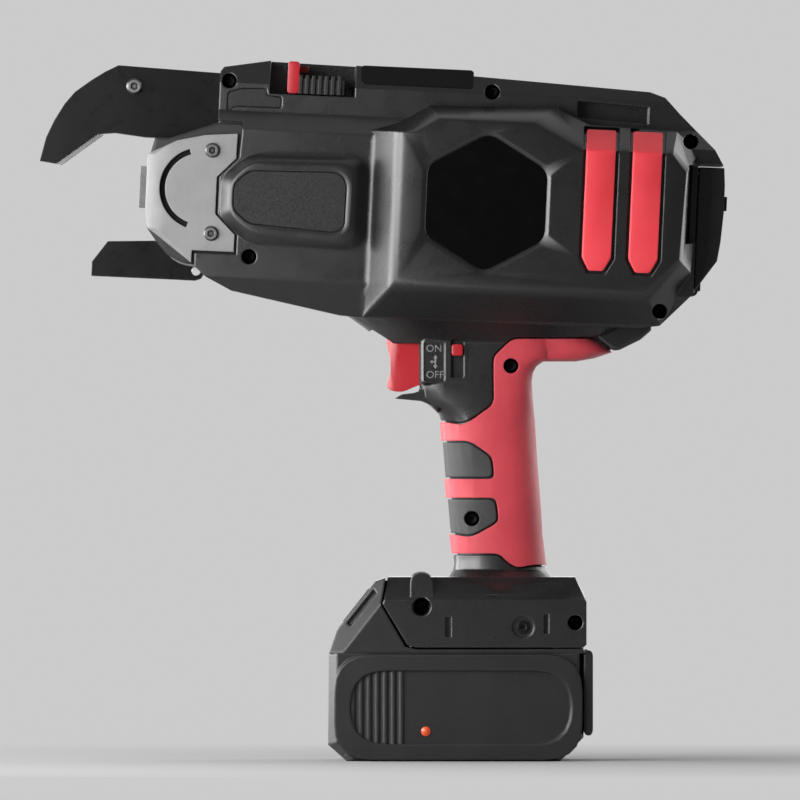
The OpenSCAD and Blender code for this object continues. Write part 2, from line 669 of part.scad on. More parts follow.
// Ribs, bosses and bay walls that stay inside the hollow head
rib_shares = [0.235, 0.315, 0.42, 0.45];
rib_t = 2.4;
module head_ribs() {
    for (s = rib_shares)
        block([hu(s), -cut, 0], [hu(s) + rib_t, head_w / 2, head_h]);
    block([hu(bay_front_share) - bay_wall, -cut, 0], [hu(bay_front_share), head_w / 2, head_h]);
    block([hu(bay_front_share) - cut, bay_y, 0], [head_l, bay_y + bay_wall, head_h]);
    plate_a = hpt(feed_plate_shares[0]);
    plate_b = hpt(feed_plate_shares[1]);
    block([plate_a[0], plate_y, plate_a[1]], [plate_b[0], plate_y + plate_t, plate_b[1]]);
    cutter_a = hpt(cutter_plate_shares[0]);
    cutter_b = hpt(cutter_plate_shares[1]);
    block([cutter_a[0], cutter_plate_y, cutter_a[1]],
        [cutter_b[0], cutter_plate_y + plate_t, cutter_b[1]]);
    ext(inset(hpts(window_shares), -wall), rail_w / 2 - window_d - rib_t, head_w / 2);
    for (p = hpts(head_screw_shares))
        bar(p, screw_boss_r, -cut, head_w / 2);
}
// Room in the ribs and walls for what the head holds
module head_seats() {
    rod(gearbox_u - seat, motor_u, axis_w, gearbox_d / 2 + seat);
    rod(motor_u - cut, motor_u + motor_l + motor_cap_t + cut, axis_w, motor_d / 2 + seat);
    rod(hu(tube_shares[0]) - seat, hu(tube_shares[1]) + seat, wire_w, tube_r + seat);
    bar(drive_p, feed_shaft_r + fit, -cut, plate_y + plate_t + cut);
    bar(hpt(lever_p_share), lever_pin_r + seat, -cut, plate_y + plate_t + cut);
    bar(cutter_p, cutter_pin_r + seat, -cut, cutter_plate_y + plate_t);
    cutter_slot();
    bar(drive_p, gear_pitch_r + gear_m + gap, gear_y - gap, gear_y + gear_t + gap);
    bar(drive_p, roller_r + gap, -cut, roller_t / 2 + gap);
    lever_a = hpt(lever_room_shares[0]);
    lever_b = hpt(lever_room_shares[1]);
    block([lever_a[0], -cut, lever_a[1]], [lever_b[0], lever_y + lever_t + gap, lever_b[1]]);
    bar(reel_p, stub_r + seat, bay_y - cut, bay_y + bay_wall + cut);
    ext(inset(frame_points(), -gap), -cut, frame_w / 2 + gap);
    ext(rect(lpt(lug_pocket_shares[0]), lpt(lug_pocket_shares[1])), -cut, guide_w / 2 + pin_head + gap);
    arm_a = apt([1, tongue_shares[0][1]]);
    block([arm_a[0] - cut, -cut, hw(rail_mouth_shares[0])],
        [arm_a[0] + wall + cut, tail_t, hw(rail_mouth_shares[1])]);
    wire_a = [hu(bay_front_share) - bay_wall - cut, -cut, reel_p[1]];
    block(wire_a, [hu(bay_front_share) + cut, groove_w, wire_w]);
    board_a = hpt(board_shares[0]);
    board_b = hpt(board_shares[1]);
    block([board_a[0] - seat, -cut, board_a[1] - seat],
        [board_b[0] + seat, board_w / 2 + seat, board_b[1] + seat]);
    block([board_a[0] - seat, -cut, board_b[1]], [board_b[0] + seat, board_w / 2, board_b[1] + board_part_h]);
}
// Openings and recesses that both halves share
module head_cuts() {
    bay_a = hpt(bay_shares[0]);
    bay_b = hpt(bay_shares[1]);
    block([bay_a[0], -cut, bay_a[1]], [bay_b[0], bay_y, bay_b[1]]);
    ext(hpts(window_shares), rail_w / 2 - window_d, head_w);
    ext(hpts(finger_slot_shares), bay_y + bay_wall + wall, head_w);
    bar(hpt(door_pin_share), door_pin_r + seat, -cut, knuckle_y + knuckle_t + bay_wall);
    bar(hpt(door_pin_share), knuckle_r + gap, knuckle_y - gap, knuckle_y + knuckle_t + gap);
    block([door_u - knuckle_r, knuckle_y - gap, hw(door_pin_share[1])],
        [door_u + cut, knuckle_y + knuckle_t + gap, hw(bay_shares[0][1]) + cut]);
    bumper_cut();
    notch_b = notch_corner(1);
    tail_b = hpt(tail_shares[1]);
    block([notch_b[0] - cut, -cut, hw(tail_shares[0][1]) - gap],
        [notch_b[0] + 2 * wall, tail_t / 2 + gap, tail_b[1] + gap]);
}
// The notch in the rail runs from the left face past the middle
function notch_corner(i) = [i == 0 ? hu(slide_shares[0][0]) - slide_travel - cut : hu(notch_end_share),
    hw(notch_shares[i])];
module notch(y0, y1) {
    ext(rect(notch_corner(0), notch_corner(1)), y0, y1);
}
module notch_box(d, y0, y1) {
    a = notch_corner(0);
    b = notch_corner(1);
    ext(rect([a[0] - d, a[1] - d], [b[0] + d, b[1]]), y0, y1);
}
function bumper_outline(i, grow) = inset([for (p = bumper_shares)
    [hu(bumper_mid_share) + i * bumper_pitch + p[0] * bumper_w, hw(p[1])]], -grow);
// A stripe's depth follows the plateau and the slope above it
bumper_low_share = 0.22;
bumper_top_share = 0.805;
function bumper_profile(outer, inner) = let (p = head_w / 2, q = bulge_y_share * front_w / 2,
        low = hw(bumper_low_share), mid = hw(plateau_shares[5][1]), top = hw(bumper_top_share))
    [[p + outer, low], [p + outer, mid], [q + outer, top],
        [q - inner, top], [p - inner, mid], [p - inner, low]];
module bumper(i, grow, outer, inner) {
    intersection() {
        ext(bumper_outline(i, grow), 0, head_w);
        translate([hu(bumper_mid_share) - bumper_pitch, 0, 0]) rotate([90, 0, 90])
            linear_extrude(bumper_pitch * 3) polygon(bumper_profile(outer, inner));
    }
}
module bumper_cut() {
    for (i = [0:1])
        bumper(i, bumper_groove, bumper_d, bumper_d);
}

// One half of the housing with everything that both halves share
module half_housing() {
    difference() {
        union() {
            head() {
                barrel(0, 0);
                bulge(0, 0, 0);
                name_boss();
            }
            difference() {
                union() {
                    ring_loft(neck_ring_shares, 0, 0);
                    ring_loft(skin_rings(), skin_drop, 0);
                    ext(gpts(lip_shares), 0, lip_w_share * handle_w / 2);
                }
                grip_field(grip_groove, handle_w);
            }
            handle_form(grip_t + seat, 0);
            foot_form();
            foot_column();
        }
        head() {
            difference() {
                union() {
                    barrel(wall, cut);
                    bulge(wall, -wall, cut);
                }
                head_ribs();
                notch_box(wall, -cut, rail_w);
            }
            head_seats();
            head_cuts();
        }
        difference() {
            ring_loft(handle_ring_shares, grip_t + wall, cut);
            for (p = gpts(handle_screw_shares))
                bar(p, screw_boss_r, -cut, handle_w);
            shelf_a = gpt(switch_shares[0]);
            shelf_b = gpt(switch_shares[1]);
            block([shelf_a[0], -cut, shelf_a[1] - shelf_t], [shelf_b[0], handle_w, shelf_a[1]]);
        }
        ext(gpts(pocket_shares), -cut, trigger_w / 2 + gap);
        bar(gpt(trigger_pin_share), trigger_pin_r + seat, -cut, trigger_pin_l / 2);
        translate([handle_x + passage_share * handle_d, 0, head_z - wall])
            cylinder(r = passage_r, h = hw(axis_share) / 2);
        foot_channel();
        ext(key_points(gap), -cut, key_y + gap);
        ext(rect(fpt(foot_slot_shares[0]), fpt(foot_slot_shares[1])), foot_w / 2 - foot_slot_d, foot_w);
        ext(rect(fpt(foot_rear_slot_shares[0]), fpt(foot_rear_slot_shares[1])),
            foot_w / 2 - foot_slot_d, foot_w);
        screw_pilots();
    }
}
// The T-shaped channel that the pack's rails slide in, open to the front and below
module foot_channel() {
    x0 = foot_x + rail_end_shares[0] * foot_l;
    x1 = foot_x + rail_end_shares[1] * foot_l;
    z1 = foot_z + rail_lip_h;
    block([x0, -cut, foot_z - cut], [x1, rail_neck_y + gap, z1 + cut]);
    block([x0, -cut, z1], [x1, rail_head_y + gap, z1 + rail_head_h + 2 * gap]);
}
module screw_pilots() {
    head()
        for (p = hpts(head_screw_shares))
            bar(p, screw_r + seat, -cut, screw_end + cut);
    for (p = concat(gpts(handle_screw_shares), fpts(foot_screw_shares)))
        bar(p, screw_r + seat, -cut, screw_end + cut);
}
// Seats of the screws on the left-hand half
function head_seat_y(i) = head_screw_seat_shares[i] * head_w / 2;
handle_seat_y = handle_screw_seat_share * handle_w / 2;
foot_seat_y = foot_screw_seat_share * foot_w / 2;
rail_seat_y = foot_w / 2 - rail_screw_ring_d;
module screw_holes() {
    head()
        for (i = [0:len(head_screw_shares) - 1])
            screw_hole(hpt(head_screw_shares[i]), head_seat_y(i));
    for (p = gpts(handle_screw_shares))
        screw_hole(p, handle_seat_y);
    for (p = fpts(foot_screw_shares))
        screw_hole(p, foot_seat_y);
    bar(fpt(foot_screw_shares[0]), column_hole_r, foot_seat_y + screw_head_h, head_w);
    bar(fpt(rail_screw_share), rail_screw_ring_r, rail_seat_y, foot_w);
    bar(fpt(rail_screw_share), screw_r + seat, rail_head_y + wall, foot_w);
}
module screw_hole(p, y) {
    bar(p, screw_hole_r, y, head_w);
    bar(p, screw_r + seat, -cut, y + cut);
}
// A screw head with a chamfered edge and a hexagon socket, standing on a face at y
module screw_head(p, r, y, h) {
    edge = head_edge_share * h;
    difference() {
        translate([p[0], y + h, p[1]]) rotate([90, 0, 0]) rotate_extrude()
            polygon([[0, 0], [r - edge, 0], [r, edge], [r, h], [0, h]]);
        ext([for (i = [0:5]) p + socket_share * r * [sin(60 * i), cos(60 * i)]],
            y + h - socket_deep_share * h, y + h + cut);
    }
}
module screw(p, y) {
    screw_head(p, screw_head_r, y, screw_head_h);
    bar(p, screw_r, -screw_end, y + seat);
}

module left_housing() {
    color(housing_colour) left() difference() {
        union() {
            half_housing();
            cheek();
        }
        screw_holes();
        head() {
            notch(-cut, rail_w);
            panel_recesses();
            bar(pinion_p, feed_motor_r + seat, -cut, feed_motor_l);
        }
        power_a = gpt(power_body_shares[0]);
        power_b = gpt(power_body_shares[1]);
        block([power_a[0], power_body_y[0] - cut, power_a[1]],
            [power_b[0], power_body_y[1] + gap, power_b[1]]);
        ext(rounded(rect(gpt(power_slot_shares[0]), gpt(power_slot_shares[1])), cut),
            power_body_y[1], handle_w);
        ext(rounded(rect(gpt(legend_shares[0]), gpt(legend_shares[1])), cut),
            legend_y, handle_w);
    }
}
cheek_y = side_share * handle_w / 2 - skin_drop;
legend_y = cheek_y - legend_d;
module cheek() {
    base = rounded(rect(gpt(cheek_shares[0]), gpt(cheek_shares[1])), cheek_round);
    loft([at_y(base, power_body_y[1] - 2 * cut), at_y(base, cheek_y - cheek_bevel),
        at_y(inset(base, cheek_bevel), cheek_y)]);
}
module right_housing() {
    color(housing_colour) difference() {
        half_housing();
        head() notch(-cut, notch_back_share * rail_w / 2);
    }
}
// Recesses for the bare panels on the left-hand side
boss_y = front_w / 2 + boss_h;
module panel_recesses() {
    ext(rounded(hpts(panel_shares), panel_round), boss_y - recess_d, head_w);
    ext(rounded(hpts(label_shares), label_round), rail_w / 2 - recess_d, head_w);
    loft([at_y(hex_points(hex_r), head_w / 2 - recess_d),
        at_y(hex_points(hex_r + 2 * hex_rim), head_w / 2 + recess_d)]);
}
function hex_points(r) =
    rounded([for (i = [0:5]) hpt(hex_centre_share) + r * [sin(60 * i), cos(60 * i)]], hex_round);
panel_t_share = 0.6;
flush_t_share = 0.9;
module left_panels() {
    color(panel_colour) left() head() {
        ext(rounded(inset(hpts(panel_shares), panel_seam), panel_round), boss_y - recess_d,
            boss_y - recess_d + flush_t_share * recess_d);
        ext(rounded(inset(hpts(label_shares), panel_seam), label_round), rail_w / 2 - recess_d,
            rail_w / 2 - recess_d + flush_t_share * recess_d);
        ext(hex_points(hex_r - seat), head_w / 2 - recess_d,
            head_w / 2 - recess_d + panel_t_share * recess_d);
    }
}

module half_grip() {
    intersection() {
        difference() {
            handle_form(0, 0);
            handle_form(grip_t, cut);
        }
        grip_field(0, handle_w);
    }
}
module left_grip() {
    color(grip_colour) left() difference() {
        half_grip();
        bar(gpt(handle_screw_shares[0]), screw_hole_r, 0, handle_w);
    }
}
module right_grip() {
    color(grip_colour) half_grip();
}
module half_bumpers() {
    head() for (i = [0:1])
        bumper(i, 0, bumper_proud, bumper_d);
}
module left_bumpers() {
    color(red_colour) left() half_bumpers();
}
module right_bumpers() {
    color(red_colour) half_bumpers();
}
module housing_screws() {
    color(steel_colour) left() {
        head() for (i = [0:len(head_screw_shares) - 1])
            screw(hpt(head_screw_shares[i]), head_seat_y(i));
        for (p = gpts(handle_screw_shares))
            screw(p, handle_seat_y);
        for (p = fpts(foot_screw_shares))
            screw(p, foot_seat_y);
        screw_head(fpt(rail_screw_share), screw_head_r, rail_seat_y, screw_head_h - rail_screw_ring_d);
        bar(fpt(rail_screw_share), screw_r, rail_head_y + wall + seat, rail_seat_y + seat);
    }
}

// Nose: frame, plates, arm and lower guide
function frame_points() = let (top = apt(arm_inner_shares[0]), step = apt(arm_inner_shares[1]))
    concat(hpts(frame_front_shares),
        [[hu(frame_face_share) + guide_t, step[1]], step, top, [hu(frame_back_share), top[1]]]);
plate_in_y = frame_w / 2 + gap;
plate_out_y = plate_in_y + nose_plate_t;
module nose_frame() {
    color(black_steel_colour) head() difference() {
        union() {
            ext(frame_points(), -frame_w / 2, frame_w / 2);
            ext(lpts(frame_lug_shares), -guide_w / 2 + guide_t + gap, guide_w / 2 - guide_t - gap);
        }
        rod(hu(bore_shares[0]), hu(bore_shares[1]), axis_w, hook_bore_r);
        bar(lpt(guide_pin_share), guide_pin_r + seat, -guide_w, guide_w);
        arm_slot(seat);
        cutter_slot();
        for (y = [-guide_w / 2 - gap, guide_w / 2 - guide_t - gap])
            ext(inset(lpts(guide_shares), -2 * gap), y, y + guide_t + 2 * gap);
        mirror_pair() {
            for (p = hpts(nose_screw_shares))
                bar(p, nose_shank_r + seat, plate_in_y - nose_shank_l - cut, frame_w);
            arc_cut(frame_w / 2 - arc_deep, frame_w);
        }
    }
}
module arm_slot(grow) {
    a = apt(tongue_shares[0]);
    b = apt(tongue_shares[1]);
    block([a[0] - grow, -arm_t / 2 - grow, a[1] - grow], [b[0] + grow, arm_t / 2 + grow, b[1] + grow]);
}
module cutter_slot() {
    y = cutter_t / 2 + gap;
    reach = sleeve_travel + cutter_arm_w + cut;
    block([cutter_p[0] - reach, -y, axis_w + sleeve_r], [hu(gearbox_share), y, wire_w]);
    bar(cutter_p, cutter_r + gap, -y, y);
}
module half_nose_plate() {
    pts = hpts(nose_plate_shares);
    zone = hu(nose_bevel_zone_share);
    face = [for (p = pts) p[0] < zone ? [p[0] + nose_bevel, p[1]] : p];
    difference() {
        loft([at_y(pts, plate_in_y), at_y(pts, plate_out_y - nose_bevel / 2), at_y(face, plate_out_y)]);
        arc_cut(plate_in_y - cut, plate_out_y + cut);
        for (p = hpts(nose_screw_shares))
            bar(p, nose_shank_r + seat, plate_in_y - cut, plate_out_y + cut);
    }
}
// The crescent slot that shows the hook's turn
module arc_cut(y0, y1) {
    p = hpt(arc_centre_share);
    translate([p[0], y1, p[1]]) rotate([90, 0, 0]) rotate([0, 0, 180 - arc_sweep / 2])
        rotate_extrude(angle = arc_sweep) translate([arc_r, 0]) square([arc_slot, y1 - y0]);
}
module left_nose_plate() {
    color(plate_colour) left() head() half_nose_plate();
}
module right_nose_plate() {
    color(plate_colour) head() half_nose_plate();
}
module nose_screws() {
    color(steel_colour) head() mirror_pair() for (p = hpts(nose_screw_shares)) {
        screw_head(p, nose_screw_r, plate_out_y, nose_screw_h);
        bar(p, nose_shank_r, plate_out_y - nose_plate_t - nose_shank_l, plate_out_y + seat);
    }
}
module curl_arm() {
    color(black_steel_colour) head() difference() {
        union() {
            ext(apts(concat(arm_inner_shares, arm_outer_shares)), -arm_t / 2, arm_t / 2);
            arm_slot(0);
        }
        ext(apts(groove_shares), -groove_w / 2, groove_w / 2);
        bar(apt(arm_screw_share), arm_shank_r + seat, -arm_t, arm_t);
    }
}
module curl_insert() {
    color(steel_colour) head() ext(apts(insert_shares), -arm_t / 2 + guide_t, arm_t / 2 - guide_t);
}
module arm_screw() {
    color(steel_colour) head() {
        mirror_pair() screw_head(apt(arm_screw_share), arm_screw_r, arm_t / 2, arm_screw_h);
        bar(apt(arm_screw_share), arm_shank_r, -arm_t / 2 - seat, arm_t / 2 + seat);
    }
}
module contact_plate() {
    a = hw(contact_shares[0]);
    b = hw(contact_shares[1]);
    u = hu(frame_face_share);
    color(steel_colour) head() difference() {
        block([u - contact_t - cut, -contact_w / 2, a], [u, contact_w / 2, b]);
        block([u - contact_t - 2 * cut, -contact_slot_w / 2, axis_w - contact_slot_h / 2],
            [u + cut, contact_slot_w / 2, axis_w + contact_slot_h / 2]);
    }
}
module guide_pin() {
    color(steel_colour) head() bar(lpt(guide_pin_share), guide_pin_r, -guide_w / 2 - pin_head / 2,
        guide_w / 2 + pin_head / 2);
}
module lower_guide() {
    floor_a = lpt(channel_shares[0]);
    floor_b = lpt(channel_shares[1]);
    color(black_steel_colour) head() difference() {
        ext(lpts(guide_shares), -guide_w / 2, guide_w / 2);
        block([floor_a[0], -guide_w / 2 + guide_t, guide_z + guide_t],
            [floor_b[0], guide_w / 2 - guide_t, floor_b[1]]);
        block([lpt(floor_end_share)[0], -guide_w / 2 + guide_t, guide_z - cut],
            [floor_b[0], guide_w / 2 - guide_t, floor_b[1]]);
        bar(lpt(guide_pin_share), guide_pin_r + fit, -guide_w, guide_w);
    }
}

// Twisting drive
module twist_motor() {
    u1 = motor_u + motor_l;
    color(steel_colour) head() difference() {
        union() {
            rod(motor_u, u1, axis_w, motor_d / 2);
            rod(u1, u1 + motor_cap_t, axis_w, motor_cap_r_share * motor_d / 2);
        }
        difference() {
            rod(motor_u - cut, u1 - motor_cap_t, axis_w, motor_d / 2 - motor_can_t);
            rod(motor_u, u1, axis_w, rotor_r_share * motor_d / 2);
        }
    }
}
module gearbox() {
    color(black_steel_colour) head() difference() {
        rod(gearbox_u, motor_u, axis_w, gearbox_d / 2);
        rod(gearbox_u - cut, gearbox_u + shaft_in + gap, axis_w, shaft_r + fit);
    }
}
module twist_shaft() {
    u0 = hu(shaft_front_share);
    color(steel_colour) head() {
        rod(u0, gearbox_u + shaft_in, axis_w, shaft_r);
        for (y = [-hook_y - hook_w, hook_y])
            block([hu(hook_share), y, axis_w - hook_h / 2], [u0 + cut, y + hook_w, axis_w + hook_h / 2]);
        for (y = [-hook_y - hook_w - hook_lip, hook_y + hook_w - cut])
            block([hu(hook_share), y, axis_w - hook_h / 2],
                [hu(hook_share) + hook_lip_l, y + hook_lip + cut, axis_w + hook_h / 2]);
    }
}
module hook_sleeve() {
    groove_u = cutter_p[0] - collar_gap / 2;
    color(black_steel_colour) head() difference() {
        union() {
            rod(groove_u - sleeve_l + collar_gap, groove_u + collar_gap + collar_t, axis_w, sleeve_r);
            rod(groove_u - collar_t, groove_u, axis_w, collar_r);
            rod(groove_u + collar_gap, groove_u + collar_gap + collar_t, axis_w, collar_r);
        }
        rod(hu(bore_shares[0]), hu(bore_shares[1]), axis_w, shaft_r + fit);
    }
}
module cutter_pin() {
    color(steel_colour) head() difference() {
        bar(cutter_p, cutter_pin_r, -cutter_plate_y - plate_t, cutter_plate_y + plate_t);
        rod(cutter_p[0] - 2 * cutter_pin_r, cutter_p[0] + 2 * cutter_pin_r, wire_w, tube_bore_r);
    }
}
module cutter_lever() {
    color(black_steel_colour) head() difference() {
        union() {
            bar(cutter_p, cutter_r, -cutter_t / 2, cutter_t / 2);
            block([cutter_p[0] - cutter_arm_w / 2, -cutter_t / 2, axis_w + sleeve_r + cutter_tip],
                [cutter_p[0] + cutter_arm_w / 2, cutter_t / 2, wire_w]);
        }
        bar(cutter_p, cutter_pin_r + fit, -cutter_t, cutter_t);
        rod(cutter_p[0] - 2 * cutter_r, cutter_p[0] + 2 * cutter_r, wire_w, tube_bore_r);
    }
}

// Feed unit
function polar(r, a) = [r * cos(a), r * sin(a)];
function inv(a) = tan(a) * 180 / PI - a;
function gear_points(teeth, turn) = let (
        rp = gear_m * teeth / 2,
        rb = rp * cos(pressure),
        ra = rp + addendum_share * gear_m,
        rr = rp - dedendum_share * gear_m,
        half = 90 / teeth - tooth_gap / rp * 90 / PI + inv(pressure),
        radii = [rr, max(rb, rr), rp, ra])
    [for (k = [0:teeth - 1]) let (mid = turn + 360 * k / teeth)
        each concat(
            [for (r = radii) polar(r, mid - half + inv(acos(min(1, rb / r))))],
            [for (j = [3:-1:0]) let (r = radii[j]) polar(r, mid + half - inv(acos(min(1, rb / r))))])];
module gear(p, teeth, turn, y0, y1) {
    translate([p[0], y1, p[1]]) rotate([90, 0, 0]) linear_extrude(y1 - y0) polygon(gear_points(teeth, turn));
}
module feed_motor() {
    color(steel_colour) head() {
        bar(pinion_p, feed_motor_r, feed_motor_y - feed_motor_l, feed_motor_y);
        bar(pinion_p, feed_motor_shaft_r, feed_motor_y - cut, gear_y + gear_t + cut);
    }
}
module feed_pinion() {
    color(brass_colour) head() difference() {
        gear(pinion_p, pinion_teeth, mesh_angle + 180 + 180 / pinion_teeth, gear_y, gear_y + gear_t);
        bar(pinion_p, feed_motor_shaft_r + fit, 0, head_w);
    }
}
module feed_drive() {
    color(steel_colour) head() {
        gear(drive_p, gear_teeth, mesh_angle, gear_y, gear_y + gear_t);
        bar(drive_p, feed_shaft_r, -plate_y - plate_t, plate_y + plate_t);
        difference() {
            bar(drive_p, roller_r, -roller_t / 2, roller_t / 2);
            roller_notch(drive_p);
        }
    }
}
// A shallow V round a roller for the wire
module roller_notch(p) {
    translate([p[0], 0, p[1]]) rotate([90, 0, 0]) rotate_extrude()
        translate([roller_r, 0]) polygon([[-roller_groove, 0], [roller_groove, roller_groove + roller_groove],
            [roller_groove, -roller_groove - roller_groove]]);
}
module feed_idler() {
    color(steel_colour) head() difference() {
        bar(idler_p, roller_r, -roller_t / 2, roller_t / 2);
        roller_notch(idler_p);
        bar(idler_p, idler_pin_r + fit, -roller_t, roller_t);
    }
}
module idler_pin() {
    color(steel_colour) head() bar(idler_p, idler_pin_r, -lever_y - lever_t, lever_y + lever_t);
}
module release_lever() {
    y1 = lever_y + lever_t;
    color(black_steel_colour) head() difference() {
        ext(hpts(lever_shares), -y1, y1);
        block([hu(lever_bridge_share), -lever_y, hw(axis_share)], [feed_u + head_l, lever_y, 2 * head_h]);
        bar(hpt(lever_p_share), lever_pin_r + fit, -y1 - cut, y1 + cut);
        bar(idler_p, idler_pin_r + seat, -y1 - cut, y1 + cut);
    }
}
module lever_pin() {
    color(steel_colour) head() bar(hpt(lever_p_share), lever_pin_r, -plate_y - plate_t, plate_y + plate_t);
}
module release_slide() {
    a = hpt(slide_shares[0]);
    b = hpt(slide_shares[1]);
    peg_a = hpt(peg_shares[0]);
    peg_b = hpt(peg_shares[1]);
    y0 = -slide_in_share * rail_w / 2;
    y1 = notch_back_share * rail_w / 2 - gap;
    color(red_colour) head() {
        ext(rounded(rect(a, b), rib_h), y0, y1);
        block([peg_a[0] - rib_h, y0 / 2, peg_a[1]], [peg_b[0], 0, peg_b[1]]);
    }
}
module release_pad() {
    a = hpt(pad_shares[0]);
    b = hpt(pad_shares[1]);
    tail_a = hpt(tail_shares[0]);
    tail_b = hpt(tail_shares[1]);
    y0 = -slide_in_share * rail_w / 2;
    y1 = notch_back_share * rail_w / 2 - gap;
    pitch = (b[0] - a[0]) / rib_count;
    color(panel_colour) head() {
        ext(rect(a, [b[0], b[1] - rib_h]), y0 + rib_h, y1);
        for (i = [0:rib_count - 1])
            block([a[0] + i * pitch, y0, a[1]], [a[0] + i * pitch + rib_w_share * pitch, y1, b[1]]);
        block([tail_a[0] - cut, -tail_t / 2, tail_a[1]], [tail_b[0], tail_t / 2, tail_b[1]]);
    }
}
module wire_tube() {
    color(steel_colour) head() difference() {
        rod(hu(tube_shares[0]), hu(tube_shares[1]), wire_w, tube_r);
        rod(hu(tube_shares[0]) - cut, hu(tube_shares[1]) + cut, wire_w, tube_bore_r);
    }
}

// Reel, its stubs and the rear door
module reel() {
    y1 = reel_w / 2;
    color(panel_colour) head() difference() {
        union() {
            bar(reel_p, reel_hub_r, -y1, y1);
            bar(reel_p, reel_d / 2, -y1, -y1 + reel_flange_t);
            bar(reel_p, reel_d / 2, y1 - reel_flange_t, y1);
        }
        bar(reel_p, stub_r + fit, -y1 - cut, -y1 + stub_l);
        bar(reel_p, stub_r + fit, y1 - stub_l, y1 + cut);
    }
}
module wire_coil() {
    y1 = reel_w / 2 - reel_flange_t - seat;
    color(steel_colour) head() difference() {
        bar(reel_p, reel_d / 2 - coil_drop, -y1, y1);
        bar(reel_p, reel_hub_r + seat, -y1 - cut, y1 + cut);
    }
}
module reel_stubs() {
    y0 = reel_w / 2 - stub_l + cut;
    color(steel_colour) head() {
        bar(reel_p, stub_r, y0, bay_y + bay_wall);
        bar(reel_p, stub_r, -bay_y - bay_wall, -y0);
    }
}
module reel_door() {
    pin = hpt(door_pin_share);
    web = dpt(knuckle_web_share);
    latch_a = dpt(latch_shares[0]);
    latch_b = dpt(latch_shares[1]);
    color(housing_colour) head() difference() {
        union() {
            difference() {
                ext(dpts(door_shares), -door_y, door_y);
                ext(inset(dpts(door_hollow_shares), door_t), -door_y + door_t, door_y - door_t);
            }
            for (y = [-knuckle_y - knuckle_t, knuckle_y]) {
                bar(pin, knuckle_r, y, y + knuckle_t);
                block([pin[0], y, pin[1]], [web[0], y + knuckle_t, web[1]]);
            }
        }
        bar(pin, door_pin_r + fit, -door_y, door_y);
        block([door_u, -latch_w / 2 - gap, latch_a[1] - latch_travel - gap],
            [latch_b[0] + cut, latch_w / 2 + gap, latch_b[1] + gap]);
    }
}
door_hollow_shares = [[-0.6, 0.989], [0.95, 0.989], [1, 0.857], [1.01, 0.66], [0.93, 0.413],
    [0.83, 0.264], [0.3, 0.1], [-0.6, 0.1]];
module door_pin() {
    color(steel_colour) head() bar(hpt(door_pin_share), door_pin_r, -knuckle_y - knuckle_t - bay_wall,
        knuckle_y + knuckle_t + bay_wall);
}
module door_latch() {
    a = dpt(latch_shares[0]);
    b = dpt(latch_shares[1]);
    inner = dpt(door_back_share)[0] - door_t - gap;
    color(housing_colour) head() {
        block([inner - guide_t, -latch_w / 2, a[1]], [b[0], latch_w / 2, b[1]]);
        block([inner - 2 * guide_t, -latch_w / 2 - latch_flange, a[1] - latch_travel - latch_flange],
            [inner - gap, latch_w / 2 + latch_flange, b[1] + latch_flange]);
    }
}

// Trigger, switches and control board
module trigger() {
    front = gpt(trigger_shares[len(trigger_shares) - 1]) - [cut, handle_h / 2];
    color(red_colour) difference() {
        intersection() {
            ext(rounded(gpts(trigger_shares), trigger_round), -trigger_w, trigger_w);
            translate([0, 0, front[1]]) linear_extrude(handle_h) polygon(rounded(
                rect([front[0], -trigger_w / 2], [front[0] + handle_d, trigger_w / 2]), trigger_edge));
        }
        bar(gpt(trigger_pin_share), trigger_pin_r + fit, -trigger_w, trigger_w);
    }
}
module trigger_pin() {
    color(steel_colour) bar(gpt(trigger_pin_share), trigger_pin_r, -trigger_pin_l / 2 + gap,
        trigger_pin_l / 2 - gap);
}
module trigger_switch() {
    a = gpt(switch_shares[0]);
    b = gpt(switch_shares[1]);
    plunger_a = gpt(plunger_shares[0]);
    plunger_b = gpt(plunger_shares[1]);
    color(panel_colour) {
        block([a[0], -switch_w / 2, a[1]], [b[0], switch_w / 2, b[1]]);
        block([plunger_a[0], -plunger_w / 2, plunger_a[1]],
            [a[0] + cut, plunger_w / 2, plunger_b[1]]);
    }
}
module power_switch() {
    a = gpt(power_body_shares[0]);
    b = gpt(power_body_shares[1]);
    color(panel_colour) block([a[0] + seat, -power_body_y[1], a[1] + seat],
        [b[0] - seat, -power_body_y[0], b[1] - seat]);
}
module power_knob() {
    color(red_colour) left() ext(rounded(rect(gpt(knob_shares[0]), gpt(knob_shares[1])), cut),
        power_body_y[1] + seat, side_share * handle_w / 2 + knob_out);
}
board_shares = [[0.4, 0.085], [0.66, 0.099]];
board_w = 48;
board_part_h = 6;
board_part_shares = [0.44, 0.5, 0.58];
board_part_l = 10;
board_part_w = 12;
module control_board() {
    a = hpt(board_shares[0]);
    b = hpt(board_shares[1]);
    color(board_colour) head() {
        block([a[0], -board_w / 2, a[1]], [b[0], board_w / 2, b[1]]);
        for (s = board_part_shares)
            block([hu(s), -board_part_w / 2, b[1] - seat],
                [hu(s) + board_part_l, board_part_w / 2, b[1] + board_part_h - cut]);
    }
}

